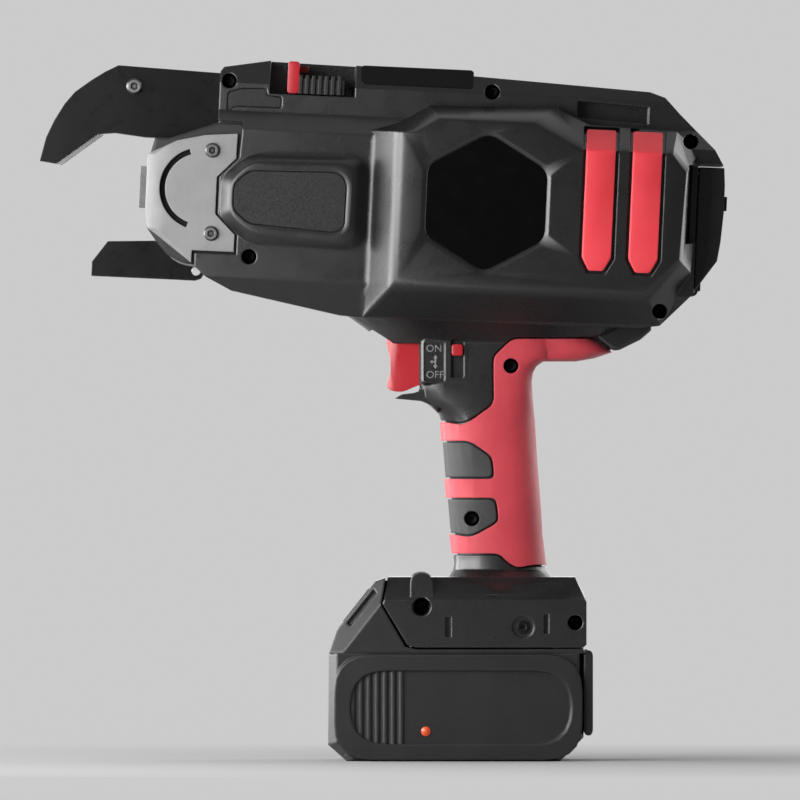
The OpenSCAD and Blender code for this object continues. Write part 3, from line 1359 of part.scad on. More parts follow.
// Terminals between the foot and the pack
rail_x1 = foot_x + rail_end_shares[1] * foot_l;
blade_z = foot_z + rail_lip_h + gap + (rail_head_h - blade_h) / 2;
module terminal_block() {
    z1 = foot_z + rail_lip_h;
    color(panel_colour) difference() {
        block([rail_x1 - terminal_t, -rail_neck_y, z1 - terminal_lip],
            [rail_x1, rail_neck_y, z1 + rail_head_h + 2 * gap]);
        for (y = [-blade_y, 0, blade_y])
            block([rail_x1 - terminal_t - cut, y - blade_t / 2, blade_z],
                [rail_x1 - cut, y + blade_t / 2, blade_z + blade_h]);
    }
}
module terminal_blades() {
    color(brass_colour) for (y = [-blade_y, 0, blade_y])
        block([rail_x1 - terminal_t - blade_l, y - blade_t / 2, blade_z],
            [rail_x1 - cut, y + blade_t / 2, blade_z + blade_h]);
}

// Battery pack
module mirror_pair() {
    children();
    left() children();
}
module tray_half() {
    mid = ppts(tray_shares);
    loft([at_y(mid, 0), at_y(mid, pack_crown_share * pack_w / 2),
        at_y(ppts(tray_side_shares), pack_w / 2 - rim_h)]);
}
module pack_lower_case() {
    a = ppt(rim_shares[0]);
    b = ppt(rim_shares[1]);
    win_a = ppt(panel_window_shares[0]);
    win_b = ppt(panel_window_shares[1]);
    top = ppt(tray_shares[1]);
    color(pack_colour) difference() {
        mirror_pair() union() {
            tray_half();
            difference() {
                ext(rounded(rect(a, b), rim_round), pack_w / 4, pack_w / 2);
                ext(rounded(rect(win_a, win_b), rim_round), pack_w / 2 - rim_h, pack_w);
            }
            for (i = [0:pack_rib_count - 1]) {
                x = pack_x + pack_rib_shares[0] * pack_l + i * pack_rib_pitch;
                block([x, pack_w / 2 - rim_h - cut, pack_rib_shares[1] * pack_h],
                    [x + pack_rib_pitch * rib_w_share, pack_w / 2 - rim_h + pack_rib_h,
                        pack_rib_shares[2] * pack_h]);
            }
        }
        block([pack_x + pack_front, -pack_w / 2 + rim_h + pack_wall, pack_floor],
            [top[0] - pack_wall, pack_w / 2 - rim_h - pack_wall, pack_h]);
    }
}
module pack_upper_case() {
    z1 = foot_z + rail_lip_h;
    side_y = pack_w / 2 - rim_h;
    rail_a = fpt(pack_rail_share)[0];
    rail_b = rail_x1 - terminal_t - gap;
    color(pack_colour) difference() {
        union() {
            ext(ppts(upper_shares), -side_y, side_y);
            block([rail_a, -rail_neck_y, deck_share * pack_h - cut], [rail_b, rail_neck_y, z1 + cut]);
            block([rail_a, -rail_head_y, z1 + gap], [rail_b, rail_head_y, z1 + gap + rail_head_h]);
            ext(key_points(0), -key_y, key_y);
        }
        for (y = [-blade_y, 0, blade_y])
            block([rail_x1 - terminal_t - blade_l - cut, y - blade_slot / 2, blade_z - blade_slot],
                [rail_x1, y + blade_slot / 2, blade_z + blade_h + blade_slot]);
        ext(button_pocket(), -button_w / 2 - gap, button_w / 2 + gap);
        mirror_pair() ext(ppts(side_slot_shares), pack_w / 2 - rim_h - side_slot_d, pack_w);
        mirror_pair() tower_bevel();
    }
}
function key_points(grow) = let (p = ppts(key_shares), root = [-cut, 0], end = [key_l + grow, 0],
        up = [0, grow])
    [p[0] + root + up, p[0] + end + up, p[1] + end, p[2] + end - up, p[2] + root - up, p[1] + root];
// The broad bevel between the tower's front slope and its side
module tower_bevel() {
    high = ppt(upper_shares[9]);
    low = ppt(upper_shares[8]);
    along = unit(high - low);
    out = -right_of(low, high);
    a = low - along * tower_bevel_w * 2;
    b = high + along * tower_bevel_w * 2;
    y0 = pack_crown_share * pack_w / 2;
    y1 = pack_w / 2 - rim_h;
    function quad(d) = [a + out * d, a + out * tower_bevel_w, b + out * tower_bevel_w, b + out * d];
    loft([at_y(quad(0), y0), at_y(quad(-tower_bevel_w * (y1 + cut - y0) / (y1 - y0)), y1 + cut)]);
}
tower_bevel_w = 7.8;
pack_rail_share = [0.14, 0];
function button_points() = [for (i = [3:-1:0]) ppt(button_shares[i])];
function button_pocket() = let (p = button_points(), drop = unit(p[1] - p[0]) * (button_travel + gap),
        out = -right_of(p[2], p[3]) * tower_bevel_w)
    inset([p[0], p[1] + drop, p[2] + drop + out, p[3] + out], -gap);
module pack_button() {
    color(panel_colour) ext(button_points(), -button_w / 2, button_w / 2);
}
module pack_cells() {
    pitch = cell_pitch_share * cell_d;
    x0 = pack_x + cell_mid_share * pack_l;
    color(steel_colour) for (i = [-2:2]) for (j = [0:1])
        bar([x0 + i * pitch, pack_floor + seat + cell_d / 2 + j * pitch], cell_d / 2,
            -cell_l / 2, cell_l / 2);
}
module pack_contacts() {
    color(brass_colour) for (y = [-blade_y, 0, blade_y])
        block([rail_x1 - terminal_t - blade_l - cut, y + blade_t / 2 + seat, blade_z],
            [rail_x1 - terminal_t - blade_l / 2, y + blade_slot / 2, blade_z + blade_h]);
}
module pack_bumper() {
    a = ppt(bumper_strip_shares[0]);
    b = ppt(bumper_strip_shares[1]);
    color(housing_colour) ext(rounded(rect(a, b), strip_round), -pack_w / 2 + pack_wall + rim_h,
        pack_w / 2 - pack_wall - rim_h);
}

left_housing();
right_housing();
left_grip();
right_grip();
left_bumpers();
right_bumpers();
left_panels();
left_nose_plate();
right_nose_plate();
nose_screws();
housing_screws();
nose_frame();
curl_arm();
curl_insert();
arm_screw();
contact_plate();
guide_pin();
lower_guide();
twist_motor();
gearbox();
twist_shaft();
hook_sleeve();
cutter_pin();
cutter_lever();
feed_motor();
feed_pinion();
feed_drive();
feed_idler();
idler_pin();
release_lever();
lever_pin();
release_slide();
release_pad();
wire_tube();
reel();
wire_coil();
reel_stubs();
reel_door();
door_pin();
door_latch();
trigger();
trigger_pin();
trigger_switch();
power_switch();
power_knob();
control_board();
terminal_block();
terminal_blades();
pack_lower_case();
pack_upper_case();
pack_cells();
pack_contacts();
pack_bumper();
pack_button();
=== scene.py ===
"""Cordless rebar tying tool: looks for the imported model, a pale studio and the camera."""
import math

import bmesh
import bpy
from mathutils import Matrix, Vector


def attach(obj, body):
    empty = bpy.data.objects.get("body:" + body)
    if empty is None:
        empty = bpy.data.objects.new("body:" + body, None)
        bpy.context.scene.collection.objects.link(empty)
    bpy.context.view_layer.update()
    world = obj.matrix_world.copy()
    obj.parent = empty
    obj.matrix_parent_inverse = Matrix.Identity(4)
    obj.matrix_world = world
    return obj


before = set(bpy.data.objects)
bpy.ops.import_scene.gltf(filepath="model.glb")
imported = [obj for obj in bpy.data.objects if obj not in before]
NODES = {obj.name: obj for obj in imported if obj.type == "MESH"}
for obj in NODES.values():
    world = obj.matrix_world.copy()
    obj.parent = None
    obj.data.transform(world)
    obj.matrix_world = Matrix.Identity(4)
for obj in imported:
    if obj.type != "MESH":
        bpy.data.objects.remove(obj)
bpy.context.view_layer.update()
scene = bpy.context.scene

MM = 0.001

# The head's own axes: u runs back along the barrel, w up across it
HEAD_ORIGIN = (12.4 * MM, 0, 184.895 * MM)
HEAD_TILT = math.radians(2.6)
HEAD = Matrix.Translation(HEAD_ORIGIN) @ Matrix.Rotation(HEAD_TILT, 4, "Y")

# Where looks change along an axis, in millimetres: a zone begins, is full, is still full and ends
BOSS_X = (-88, -84, -22, -18)  # around the front boss and the bulge's slope
BOSS_Z = (193, 197, 269, 273)
WINDOWS_Z = (90, 94, 140, 146)  # the windows in the overmould
# The panels in front of this are grained film, and the one behind it is polished
FILM_X = (-29, -31)

# Edges below this angle are shaded smooth, and those above it are what ROUNDED rounds
SMOOTH_DEGREES = 28
# Points closer together than this are welded
WELD = 0.004 * MM


def head(u, w, y=0.0):
    """A point in the head's axes, in millimetres, as a point of the scene."""
    return HEAD @ Vector((u * MM, y * MM, w * MM))


def upright(x, z, y):
    """A point of an outline drawn from the side, in millimetres, as a point of the scene."""
    return Vector((x, y, z)) * MM


# Materials

class Graph:
    """A material's node tree, with short calls for what the materials here use."""

    def __init__(self, name):
        self.mat = bpy.data.materials.new(name)
        self.mat.use_nodes = True
        self.tree = self.mat.node_tree
        self.nodes = self.tree.nodes
        self.links = self.tree.links
        self.nodes.clear()
        self.out = self.nodes.new("ShaderNodeOutputMaterial")
        self.bsdf = self.nodes.new("ShaderNodeBsdfPrincipled")
        self.links.new(self.bsdf.outputs[0], self.out.inputs["Surface"])
        self.coord = self.nodes.new("ShaderNodeTexCoord").outputs["Object"]

    def set(self, **values):
        """Constants of the shader, with underscores for the spaces in their names."""
        for key, value in values.items():
            self.bsdf.inputs[key.replace("_", " ")].default_value = value

    def link(self, a, b):
        self.links.new(a, b)

    def noise(self, scale, detail=4.0, rough=0.55, vector=None):
        n = self.nodes.new("ShaderNodeTexNoise")
        n.inputs["Scale"].default_value = scale
        n.inputs["Detail"].default_value = detail
        n.inputs["Roughness"].default_value = rough
        self.link(vector or self.coord, n.inputs["Vector"])
        return n.outputs["Fac"]

    def voronoi(self, scale):
        n = self.nodes.new("ShaderNodeTexVoronoi")
        n.inputs["Scale"].default_value = scale
        self.link(self.coord, n.inputs["Vector"])
        return n.outputs["Distance"]

    def stretch(self, scale):
        """The coordinates at a scale of their own along each axis."""
        n = self.nodes.new("ShaderNodeMapping")
        n.inputs["Scale"].default_value = scale
        self.link(self.coord, n.inputs["Vector"])
        return n.outputs["Vector"]

    def axis(self, letter):
        n = self.nodes.new("ShaderNodeSeparateXYZ")
        self.link(self.coord, n.inputs[0])
        return n.outputs[letter]

    def span(self, value, low, high, to_low=0.0, to_high=1.0):
        """A value's range from low to high, carried over to another range and held at its ends."""
        n = self.nodes.new("ShaderNodeMapRange")
        n.clamp = True
        n.inputs["From Min"].default_value = low
        n.inputs["From Max"].default_value = high
        n.inputs["To Min"].default_value = to_low
        n.inputs["To Max"].default_value = to_high
        self.link(value, n.inputs["Value"])
        return n.outputs["Result"]

    def within(self, letter, stops):
        """One between the two middle stops along an axis, fading to nothing at the outer two."""
        value = self.axis(letter)
        begins, full, last, ends = [stop * MM for stop in stops]
        return self.times(self.span(value, begins, full), self.span(value, ends, last))

    def math(self, op, a, b):
        n = self.nodes.new("ShaderNodeMath")
        n.operation = op
        for i, v in enumerate((a, b)):
            if isinstance(v, (int, float)):
                n.inputs[i].default_value = v
            else:
                self.link(v, n.inputs[i])
        return n.outputs[0]

    def plus(self, a, b):
        return self.math("ADD", a, b)

    def times(self, a, b):
        return self.math("MULTIPLY", a, b)

    def mix(self, fac, a, b):
        """From colour a to colour b; each is a constant or a socket."""
        n = self.nodes.new("ShaderNodeMix")
        n.data_type = "RGBA"
        self.link(fac, n.inputs["Factor"])
        for socket, v in (("A", a), ("B", b)):
            target = [s for s in n.inputs if s.name == socket and s.type == "RGBA"][0]
            if isinstance(v, tuple):
                target.default_value = v
            else:
                self.link(v, target)
        return [s for s in n.outputs if s.type == "RGBA"][0]

    def colour(self, socket):
        self.link(socket, self.bsdf.inputs["Base Color"])

    def rough(self, socket):
        self.link(socket, self.bsdf.inputs["Roughness"])

    def bevel(self, samples):
        n = self.nodes.new("ShaderNodeBevel")
        n.samples = samples
        return n

    def round(self, mm, boss_mm=0.0):
        """Normals that round every edge: self.thin for the edge mask, self.soft for the bump."""
        thin = self.bevel(samples=6)
        thin.inputs["Radius"].default_value = mm * MM
        self.thin = self.soft = thin.outputs["Normal"]
        if boss_mm:
            # A softer radius around the front boss and the bulge's slope
            inside = self.times(self.within("X", BOSS_X), self.within("Z", BOSS_Z))
            soft = self.bevel(samples=8)
            radius = self.span(inside, 0.0, 1.0, mm * MM, boss_mm * MM)
            self.link(radius, soft.inputs["Radius"])
            self.soft = soft.outputs["Normal"]
        return self

    def open_air(self):
        """How little of the piece itself stands close to a point: one on flats, less in hollows."""
        shade = self.nodes.new("ShaderNodeAmbientOcclusion")
        shade.samples = 4
        shade.only_local = True
        shade.inputs["Distance"].default_value = 1.5 * MM
        return shade.outputs["AO"]

    def edges(self):
        """One along outward edges, nothing on flats and in inward corners."""
        geo = self.nodes.new("ShaderNodeNewGeometry")
        dot = self.nodes.new("ShaderNodeVectorMath")
        dot.operation = "DOT_PRODUCT"
        self.link(self.thin, dot.inputs[0])
        self.link(geo.outputs["Normal"], dot.inputs[1])
        bent = self.span(dot.outputs["Value"], 0.99, 0.8)
        return self.times(bent, self.span(self.open_air(), 0.7, 0.95))

    def bump(self, height, depth_mm, strength):
        b = self.nodes.new("ShaderNodeBump")
        b.inputs["Distance"].default_value = depth_mm * MM
        b.inputs["Strength"].default_value = strength
        self.link(height, b.inputs["Height"])
        self.link(self.soft, b.inputs["Normal"])
        self.link(b.outputs["Normal"], self.bsdf.inputs["Normal"])


def grey(v, tint=0.0):
    """A grey, a little blue where it has a tint."""
    return (v, v, v * (1 + tint), 1)


def rgb(r, g, b):
    return (r, g, b, 1)


def lighter(colour, factor):
    return tuple(min(1.0, c * factor) for c in colour[:3]) + (1,)


def plastic(name, dark, light, roughness, grain, depth, round_mm,
            wear_and_highlight=0.0, gloss=0.3, speck=0.5, boss_mm=0.0):
    """Moulded plastic: spark-eroded grain at two sizes, cloudy tone, edges paler from handling and
    from a painted highlight.
    """
    speck_tone, worn_and_highlit_tone = lighter(light, 1.5), lighter(light, 6)
    g = Graph(name).round(round_mm, boss_mm)
    g.set(Specular_IOR_Level=gloss)
    cloud = g.span(g.noise(38, detail=5), 0.3, 0.72)
    fine = g.noise(grain, detail=3, rough=0.6)
    pits = g.voronoi(grain * 0.55)
    base = g.mix(cloud, dark, light)
    base = g.mix(g.span(pits, 0.1, 0.75, 0.0, speck), base, speck_tone)
    if wear_and_highlight:
        # Outward edges paler: partly polish from handling, partly a painted highlight standing in
        # for light caught along the edges
        base = g.mix(g.times(g.edges(), wear_and_highlight), base, worn_and_highlit_tone)
    g.colour(base)
    smears = g.plus(g.noise(90), g.times(fine, 0.4))
    rough = g.span(smears, 0.35, 1.0, roughness - 0.03, roughness + 0.05)
    if boss_mm:
        # The windows in the overmould are duller than the head
        rough = g.plus(rough, g.times(g.within("Z", WINDOWS_Z), 0.32))
    g.rough(rough)
    g.bump(g.plus(fine, g.times(pits, 0.6)), depth, strength=0.5)
    return g


def rubber(name, dark, light, roughness, grain, depth, round_mm):
    """Soft rubber: dusty sheen, a fine leathery grain, and edges paler from rubbing and from a
    painted highlight.
    """
    g = Graph(name).round(round_mm)
    g.set(Sheen_Weight=0.1, Sheen_Roughness=0.5, Specular_IOR_Level=0.35)
    cloud = g.span(g.noise(46, detail=5, rough=0.6), 0.32, 0.7)
    base = g.mix(cloud, dark, light)
    # Outward edges paler: partly rubbed, partly a painted highlight along the edges
    base = g.mix(g.times(g.edges(), 0.25), base, lighter(light, 1.5))
    g.colour(base)
    smears = g.noise(140, detail=5)
    g.rough(g.span(smears, 0.3, 0.75, roughness - 0.08, roughness + 0.08))
    fine = g.noise(grain * 1.7, detail=3)
    g.bump(g.plus(g.voronoi(grain), g.times(fine, 0.6)), depth, strength=0.5)
    return g


def metal(name, dark, light, metallic, roughness, stretch, depth, round_mm,
          wear_and_highlight=0.0, bright=0.62, gloss=0.5, hollow_shade=0.0):
    """Metal with drawn or ground marks along one way, bright edges that are partly rubbed and
    partly a painted highlight, and painted shade in hollows.
    """
    g = Graph(name).round(round_mm)
    g.set(Metallic=metallic, Specular_IOR_Level=gloss)
    marks = g.noise(1.0, detail=6, rough=0.65, vector=g.stretch(stretch))
    cloud = g.span(g.noise(55, detail=5), 0.3, 0.7)
    both = g.plus(g.times(marks, 0.6), g.times(cloud, 0.4))
    base = g.mix(g.span(both, 0.25, 0.75), dark, light)
    if wear_and_highlight:
        # Outward edges brightened in patches: partly rubbed metal, partly a painted highlight, as
        # on the nose plate's lit bevel and the arm's bright edge lines
        edge_patchiness = g.span(g.noise(420, rough=0.6), 0.3, 0.6, 0.35, 1.0)
        base = g.mix(g.times(g.times(g.edges(), edge_patchiness), wear_and_highlight), base, grey(bright))
    if hollow_shade:
        # Painted shade: hollows such as screw sockets darkened towards near-black, as far as the
        # piece closes round them
        hollow = g.span(g.open_air(), 0.92, 0.6)
        base = g.mix(g.times(hollow, hollow_shade), base, grey(0.004))
    g.colour(base)
    g.rough(g.span(marks, 0.25, 0.75, roughness - 0.08, roughness + 0.1))
    g.bump(marks, depth, strength=0.4)
    return g


def panels():
    """Grained film on the front panels, and a polished hexagon further back."""
    g = Graph("panel_film").round(0.3)
    g.set(Specular_IOR_Level=0.25)
    film_area = g.span(g.axis("X"), *[stop * MM for stop in FILM_X])
    grain = g.noise(1500, rough=0.6)
    grained = g.mix(g.span(grain, 0.35, 0.65), grey(0.006), grey(0.024))
    polished = grey(0.0015, 0.05)
    g.colour(g.mix(film_area, polished, grained))
    smears = g.span(g.noise(120), 0.3, 0.7, 0.1, 0.2)
    g.rough(g.plus(smears, g.times(film_area, 0.35)))
    g.bump(g.times(grain, film_area), 0.12, strength=0.6)
    return g


housing = plastic(
    "housing_plastic", grey(0.0062, 0.05), grey(0.0092, 0.04), roughness=0.27, grain=2400,
    depth=0.018, round_mm=0.9, wear_and_highlight=0.5, gloss=0.65, boss_mm=3.2)
pack_plastic = plastic(
    "pack_plastic", grey(0.0078, 0.03), grey(0.0115, 0.03), roughness=0.32, grain=1900,
    depth=0.03, round_mm=1.4, wear_and_highlight=0.45, gloss=0.5)
panel = panels()
film = plastic(
    "bare_film", grey(0.0025, 0.05), grey(0.0035, 0.05), roughness=0.2, grain=3600,
    depth=0.01, round_mm=0.15)
switch_plastic = plastic(
    "switch_plastic", grey(0.006), grey(0.01), roughness=0.34, grain=2600,
    depth=0.03, round_mm=0.3, wear_and_highlight=0.5, gloss=0.4)
red_plastic = plastic(
    "red_plastic", rgb(0.35, 0.009, 0.015), rgb(0.39, 0.012, 0.02), roughness=0.28, grain=1900,
    depth=0.006, round_mm=0.6, gloss=0.5, speck=0.06)
bumper = rubber(
    "bumper_rubber", rgb(0.7, 0.042, 0.056), rgb(0.76, 0.05, 0.066), roughness=0.46, grain=1500,
    depth=0.02, round_mm=0.4)
grip = rubber(
    "grip_rubber", rgb(0.47, 0.041, 0.057), rgb(0.56, 0.054, 0.074), roughness=0.5, grain=1300,
    depth=0.04, round_mm=0.8)
plate = metal(
    "nose_plate", grey(0.19), grey(0.235), metallic=0.2, roughness=0.5, stretch=(700, 700, 90),
    depth=0.015, round_mm=0.5, wear_and_highlight=0.4, bright=0.5, gloss=0.35)
casting = metal(
    "black_casting", grey(0.009), grey(0.016), metallic=0.1, roughness=0.42,
    stretch=(900, 900, 900), depth=0.03, round_mm=2.4, wear_and_highlight=0.1, bright=0.2, gloss=0.4)
black_steel = metal(
    "black_steel", grey(0.0055), grey(0.0095), metallic=0.15, roughness=0.3,
    stretch=(160, 900, 160), depth=0.01, round_mm=0.6, wear_and_highlight=0.3, bright=0.3, gloss=0.08)
dark_steel = metal(
    "dark_steel", grey(0.09), grey(0.15), metallic=1.0, roughness=0.34,
    stretch=(700, 700, 700), depth=0.01, round_mm=0.25, wear_and_highlight=0.3, bright=0.4)
screw_steel = metal(
    "socket_screws", grey(0.09), grey(0.15), metallic=1.0, roughness=0.34,
    stretch=(700, 700, 700), depth=0.01, round_mm=0.25, wear_and_highlight=0.3, bright=0.4, hollow_shade=1.0)
steel = metal(
    "bright_steel", grey(0.34), grey(0.46), metallic=1.0, roughness=0.32,
    stretch=(300, 1500, 300), depth=0.008, round_mm=0.25)
motor = metal(
    "motor_can", grey(0.36), grey(0.45), metallic=1.0, roughness=0.38,
    stretch=(120, 1200, 120), depth=0.01, round_mm=0.3)
brass = metal(
    "brass", rgb(0.55, 0.38, 0.13), rgb(0.68, 0.5, 0.2), metallic=1.0, roughness=0.3,
    stretch=(300, 900, 300), depth=0.01, round_mm=0.2)
board = plastic(
    "circuit_board", rgb(0.012, 0.075, 0.03), rgb(0.02, 0.1, 0.045), roughness=0.36, grain=900,
    depth=0.02, round_mm=0.2)
cell = metal(
    "cell_can", grey(0.48), grey(0.6), metallic=1.0, roughness=0.32,
    stretch=(200, 900, 200), depth=0.01, round_mm=0.2)
wire = metal(
    "tying_wire", grey(0.32), grey(0.46), metallic=1.0, roughness=0.36,
    stretch=(200, 1400, 200), depth=0.05, round_mm=0.1)
ink = plastic(
    "legend_ink", grey(0.13), grey(0.17), roughness=0.5, grain=2600,
    depth=0.02, round_mm=0.1)
lens = plastic(
    "lamp_lens", rgb(0.55, 0.05, 0.015), rgb(0.7, 0.09, 0.02), roughness=0.16, grain=1200,
    depth=0.02, round_mm=0.2, gloss=0.7)

LOOKS = {
    "left_housing": housing, "right_housing": housing, "left_grip": grip, "right_grip": grip,
    "left_bumpers": bumper, "right_bumpers": bumper, "left_panels": panel,
    "left_nose_plate": plate, "right_nose_plate": plate, "nose_screws": screw_steel,
    "housing_screws": black_steel, "nose_frame": casting, "curl_arm": black_steel,
    "curl_insert": dark_steel, "arm_screw": screw_steel, "contact_plate": dark_steel,
    "guide_pin": steel, "lower_guide": black_steel, "twist_motor": motor, "gearbox": casting,
    "twist_shaft": steel, "hook_sleeve": black_steel, "cutter_pin": steel,
    "cutter_lever": black_steel, "feed_motor": motor, "feed_pinion": brass, "feed_drive": steel,
    "feed_idler": steel, "idler_pin": steel, "release_lever": black_steel, "lever_pin": steel,
    "release_slide": red_plastic, "release_pad": switch_plastic, "wire_tube": steel,
    "reel": switch_plastic, "wire_coil": wire, "reel_stubs": steel, "reel_door": housing,
    "door_pin": steel, "door_latch": switch_plastic, "trigger": red_plastic,
    "trigger_pin": steel, "trigger_switch": switch_plastic, "power_switch": switch_plastic,
    "power_knob": red_plastic, "control_board": board, "terminal_block": switch_plastic,
    "terminal_blades": brass, "pack_lower_case": pack_plastic, "pack_upper_case": pack_plastic,
    "pack_cells": cell, "pack_contacts": brass, "pack_bumper": pack_plastic,
    "pack_button": switch_plastic,
}

# Simple nodes whose edges also get a true rounding, in millimetres
ROUNDED = {
    "trigger": 1.2, "power_knob": 0.5, "release_slide": 0.6,
    "left_bumpers": 0.8, "right_bumpers": 0.8,
}


def smooth_group():
    """A modifier that welds a shell and shades it smooth across its shallow edges."""
    tree = bpy.data.node_groups.new("smooth_below_%d" % SMOOTH_DEGREES, "GeometryNodeTree")
    for way in ("INPUT", "OUTPUT"):
        tree.interface.new_socket("Geometry", in_out=way, socket_type="NodeSocketGeometry")
    n = tree.nodes
    start, end = n.new("NodeGroupInput"), n.new("NodeGroupOutput")
    drop = n.new("GeometryNodeRemoveAttribute")
    drop.inputs["Name"].default_value = "custom_normal"
    weld = n.new("GeometryNodeMergeByDistance")
    weld.inputs["Distance"].default_value = WELD
    faces = n.new("GeometryNodeSetShadeSmooth")
    faces.domain = "FACE"
    edges = n.new("GeometryNodeSetShadeSmooth")
    edges.domain = "EDGE"
    edges.inputs["Shade Smooth"].default_value = False
    angle = n.new("GeometryNodeInputMeshEdgeAngle")
    over = n.new("FunctionNodeCompare")
    over.data_type = "FLOAT"
    over.operation = "GREATER_THAN"
    over.inputs["B"].default_value = math.radians(SMOOTH_DEGREES)
    link = tree.links.new
    link(start.outputs[0], drop.inputs["Geometry"])
    link(drop.outputs["Geometry"], weld.inputs["Geometry"])
    link(weld.outputs["Geometry"], faces.inputs["Geometry"])
    link(faces.outputs["Geometry"], edges.inputs["Geometry"])
    link(angle.outputs["Unsigned Angle"], over.inputs["A"])
    link(over.outputs["Result"], edges.inputs["Selection"])
    link(edges.outputs["Geometry"], end.inputs[0])
    return tree


SMOOTH = smooth_group()


def dress(o, graph, round_mm):
    """A node's material and smooth shading, and rounded edges where it has a radius."""
    o.data.materials.clear()
    o.data.materials.append(graph.mat)
    if round_mm:
        weld = o.modifiers.new("weld", "WELD")
        weld.merge_threshold = WELD
        bevel = o.modifiers.new("round", "BEVEL")
        bevel.limit_method = "ANGLE"
        bevel.angle_limit = math.radians(SMOOTH_DEGREES)
        bevel.width = round_mm * MM
        bevel.segments = 4
    o.modifiers.new("smooth", "NODES").node_group = SMOOTH


for name, o in NODES.items():
    dress(o, LOOKS[name], ROUNDED.get(name, 0.0))


# Small pieces that the solids leave to the looks, in millimetres

def piece(name, mesh, graph, body):
    """A finished mesh as an object that rides on a body."""
    mesh.materials.clear()
    mesh.materials.append(graph.mat)
    o = bpy.data.objects.new(name, mesh)
    scene.collection.objects.link(o)
    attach(o, body)


def bridge(bm, rings):
    """Faces between each closed ring of points and the next."""
    faces = []
    for low, high in zip(rings, rings[1:]):
        for k in range(len(low)):
            m = (k + 1) % len(low)
            faces.append(bm.faces.new((low[k], low[m], high[m], high[k])))
    return faces


def circle(steps):
    """The directions of points around a circle, as cosine and sine."""
    return [(math.cos(math.tau * k / steps), math.sin(math.tau * k / steps)) for k in range(steps)]


def slab(bm, outline, low, high, place):
    """A flat outline given thickness, placed point by point."""
    rings = [[bm.verts.new(place(a, b, h)) for a, b in outline] for h in (low, high)]
    bm.faces.new(rings[0])
    bm.faces.new(rings[1])
    bridge(bm, rings)


def finish_mesh(bm, name, bevel_mm=0.0):
    """The built faces as a mesh, with their sharp edges bevelled where asked."""
    sharp_angle = 0.5  # radians
    bmesh.ops.recalc_face_normals(bm, faces=bm.faces)
    if bevel_mm:
        sharp = [e for e in bm.edges
                 if len(e.link_faces) == 2 and e.calc_face_angle() > sharp_angle]
        bmesh.ops.bevel(bm, geom=sharp, offset=bevel_mm * MM, segments=2, profile=0.5,
                        affect="EDGES")
    mesh = bpy.data.meshes.new(name)
    bm.to_mesh(mesh)
    bm.free()
    return mesh


def letters(bm, text, size, x, z, y, rise):
    """Sans letters standing on a face that looks along -Y."""
    curve = bpy.data.curves.new(text, "FONT")
    curve.body = text
    curve.size = size * MM
    curve.align_x, curve.align_y = "CENTER", "CENTER"
    curve.extrude = rise / 2 * MM
    curve.resolution_u = 4
    o = bpy.data.objects.new(text, curve)
    scene.collection.objects.link(o)
    solid = o.evaluated_get(bpy.context.evaluated_depsgraph_get())
    mesh = bpy.data.meshes.new_from_object(solid)
    stand = Matrix.Rotation(math.pi / 2, 4, "X")
    mesh.transform(Matrix.Translation((x * MM, (y - rise / 2) * MM, z * MM)) @ stand)
    bm.from_mesh(mesh)
    bpy.data.objects.remove(o)
    bpy.data.curves.remove(curve)
    bpy.data.meshes.remove(mesh)


def legend():
    """ON, a double arrow with a pointer, and OFF, raised from the recess by the switch."""
    recess_y, rise, size = -15.18, 0.3, 4.4
    arrow_x, arrow_z = -11.2, 173.4
    bm = bmesh.new()
    letters(bm, "ON", size, x=-11.8, z=179.1, y=recess_y, rise=rise)
    letters(bm, "OFF", size, x=-11.4, z=167.7, y=recess_y, rise=rise)
    arrow = [
        (0, 3.1), (1.0, 1.5), (0.35, 1.5), (0.35, -1.5), (1.0, -1.5), (0, -3.1), (-1.0, -1.5),
        (-0.35, -1.5), (-0.35, -0.3), (-1.3, -0.3), (-1.3, -0.8), (-2.5, 0), (-1.3, 0.8),
        (-1.3, 0.3), (-0.35, 0.3), (-0.35, 1.5), (-1.0, 1.5),
    ]
    slab(bm, arrow, 0.0, rise,
         lambda a, b, h: upright(arrow_x + a, arrow_z + b, recess_y - h))
    piece("switch_legend", finish_mesh(bm, "switch_legend"), ink, "tool")


def rail_film():
    """A bare glossy strip on the bevel of the rail."""
    # The bevel's lower and upper edge, as Y and w
    foot, top = Vector((-29.0, 104.65)), Vector((-22.3, 115.6))
    along = (top - foot).normalized()
    out = Vector((-along.y, along.x))
    front, back, low, high = -59.4, -13.6, 3.8, 10.0
    corner, steps = 1.6, 4
    sunk, proud = -0.3, 0.35
    outline = []
    for u, b, start in ((front, high, 180), (back, high, 90), (back, low, 0), (front, low, -90)):
        for k in range(steps + 1):
            a = math.radians(start - 90 * k / steps)
            outline.append((u + corner * math.cos(a), b + corner * math.sin(a)))

    def place(u, b, h):
        q = foot + along * b + out * h
        return head(u, q.y, q.x)

    bm = bmesh.new()
    slab(bm, outline, sunk, proud, place)
    mesh = finish_mesh(bm, "rail_film", bevel_mm=0.12)
    piece("rail_film", mesh, film, "tool")


def lamp():
    """A small domed lens low on the pack's side panel."""
    x, y, z = -15.4, -35.5, 13.0
    # Radius and height of each ring
    profile = ((2.1, -0.3), (2.1, 0.3), (1.75, 0.55), (1.5, 0.5), (1.3, 0.75), (0.7, 1.0))
    bm = bmesh.new()
    rings = [[bm.verts.new(upright(x + r * c, z + r * s, y - h)) for c, s in circle(steps=32)]
             for r, h in profile]
    bm.faces.new(rings[0])
    for face in bridge(bm, rings) + [bm.faces.new(rings[-1])]:
        face.smooth = True
    piece("pack_lamp", finish_mesh(bm, "pack_lamp"), lens, "pack")


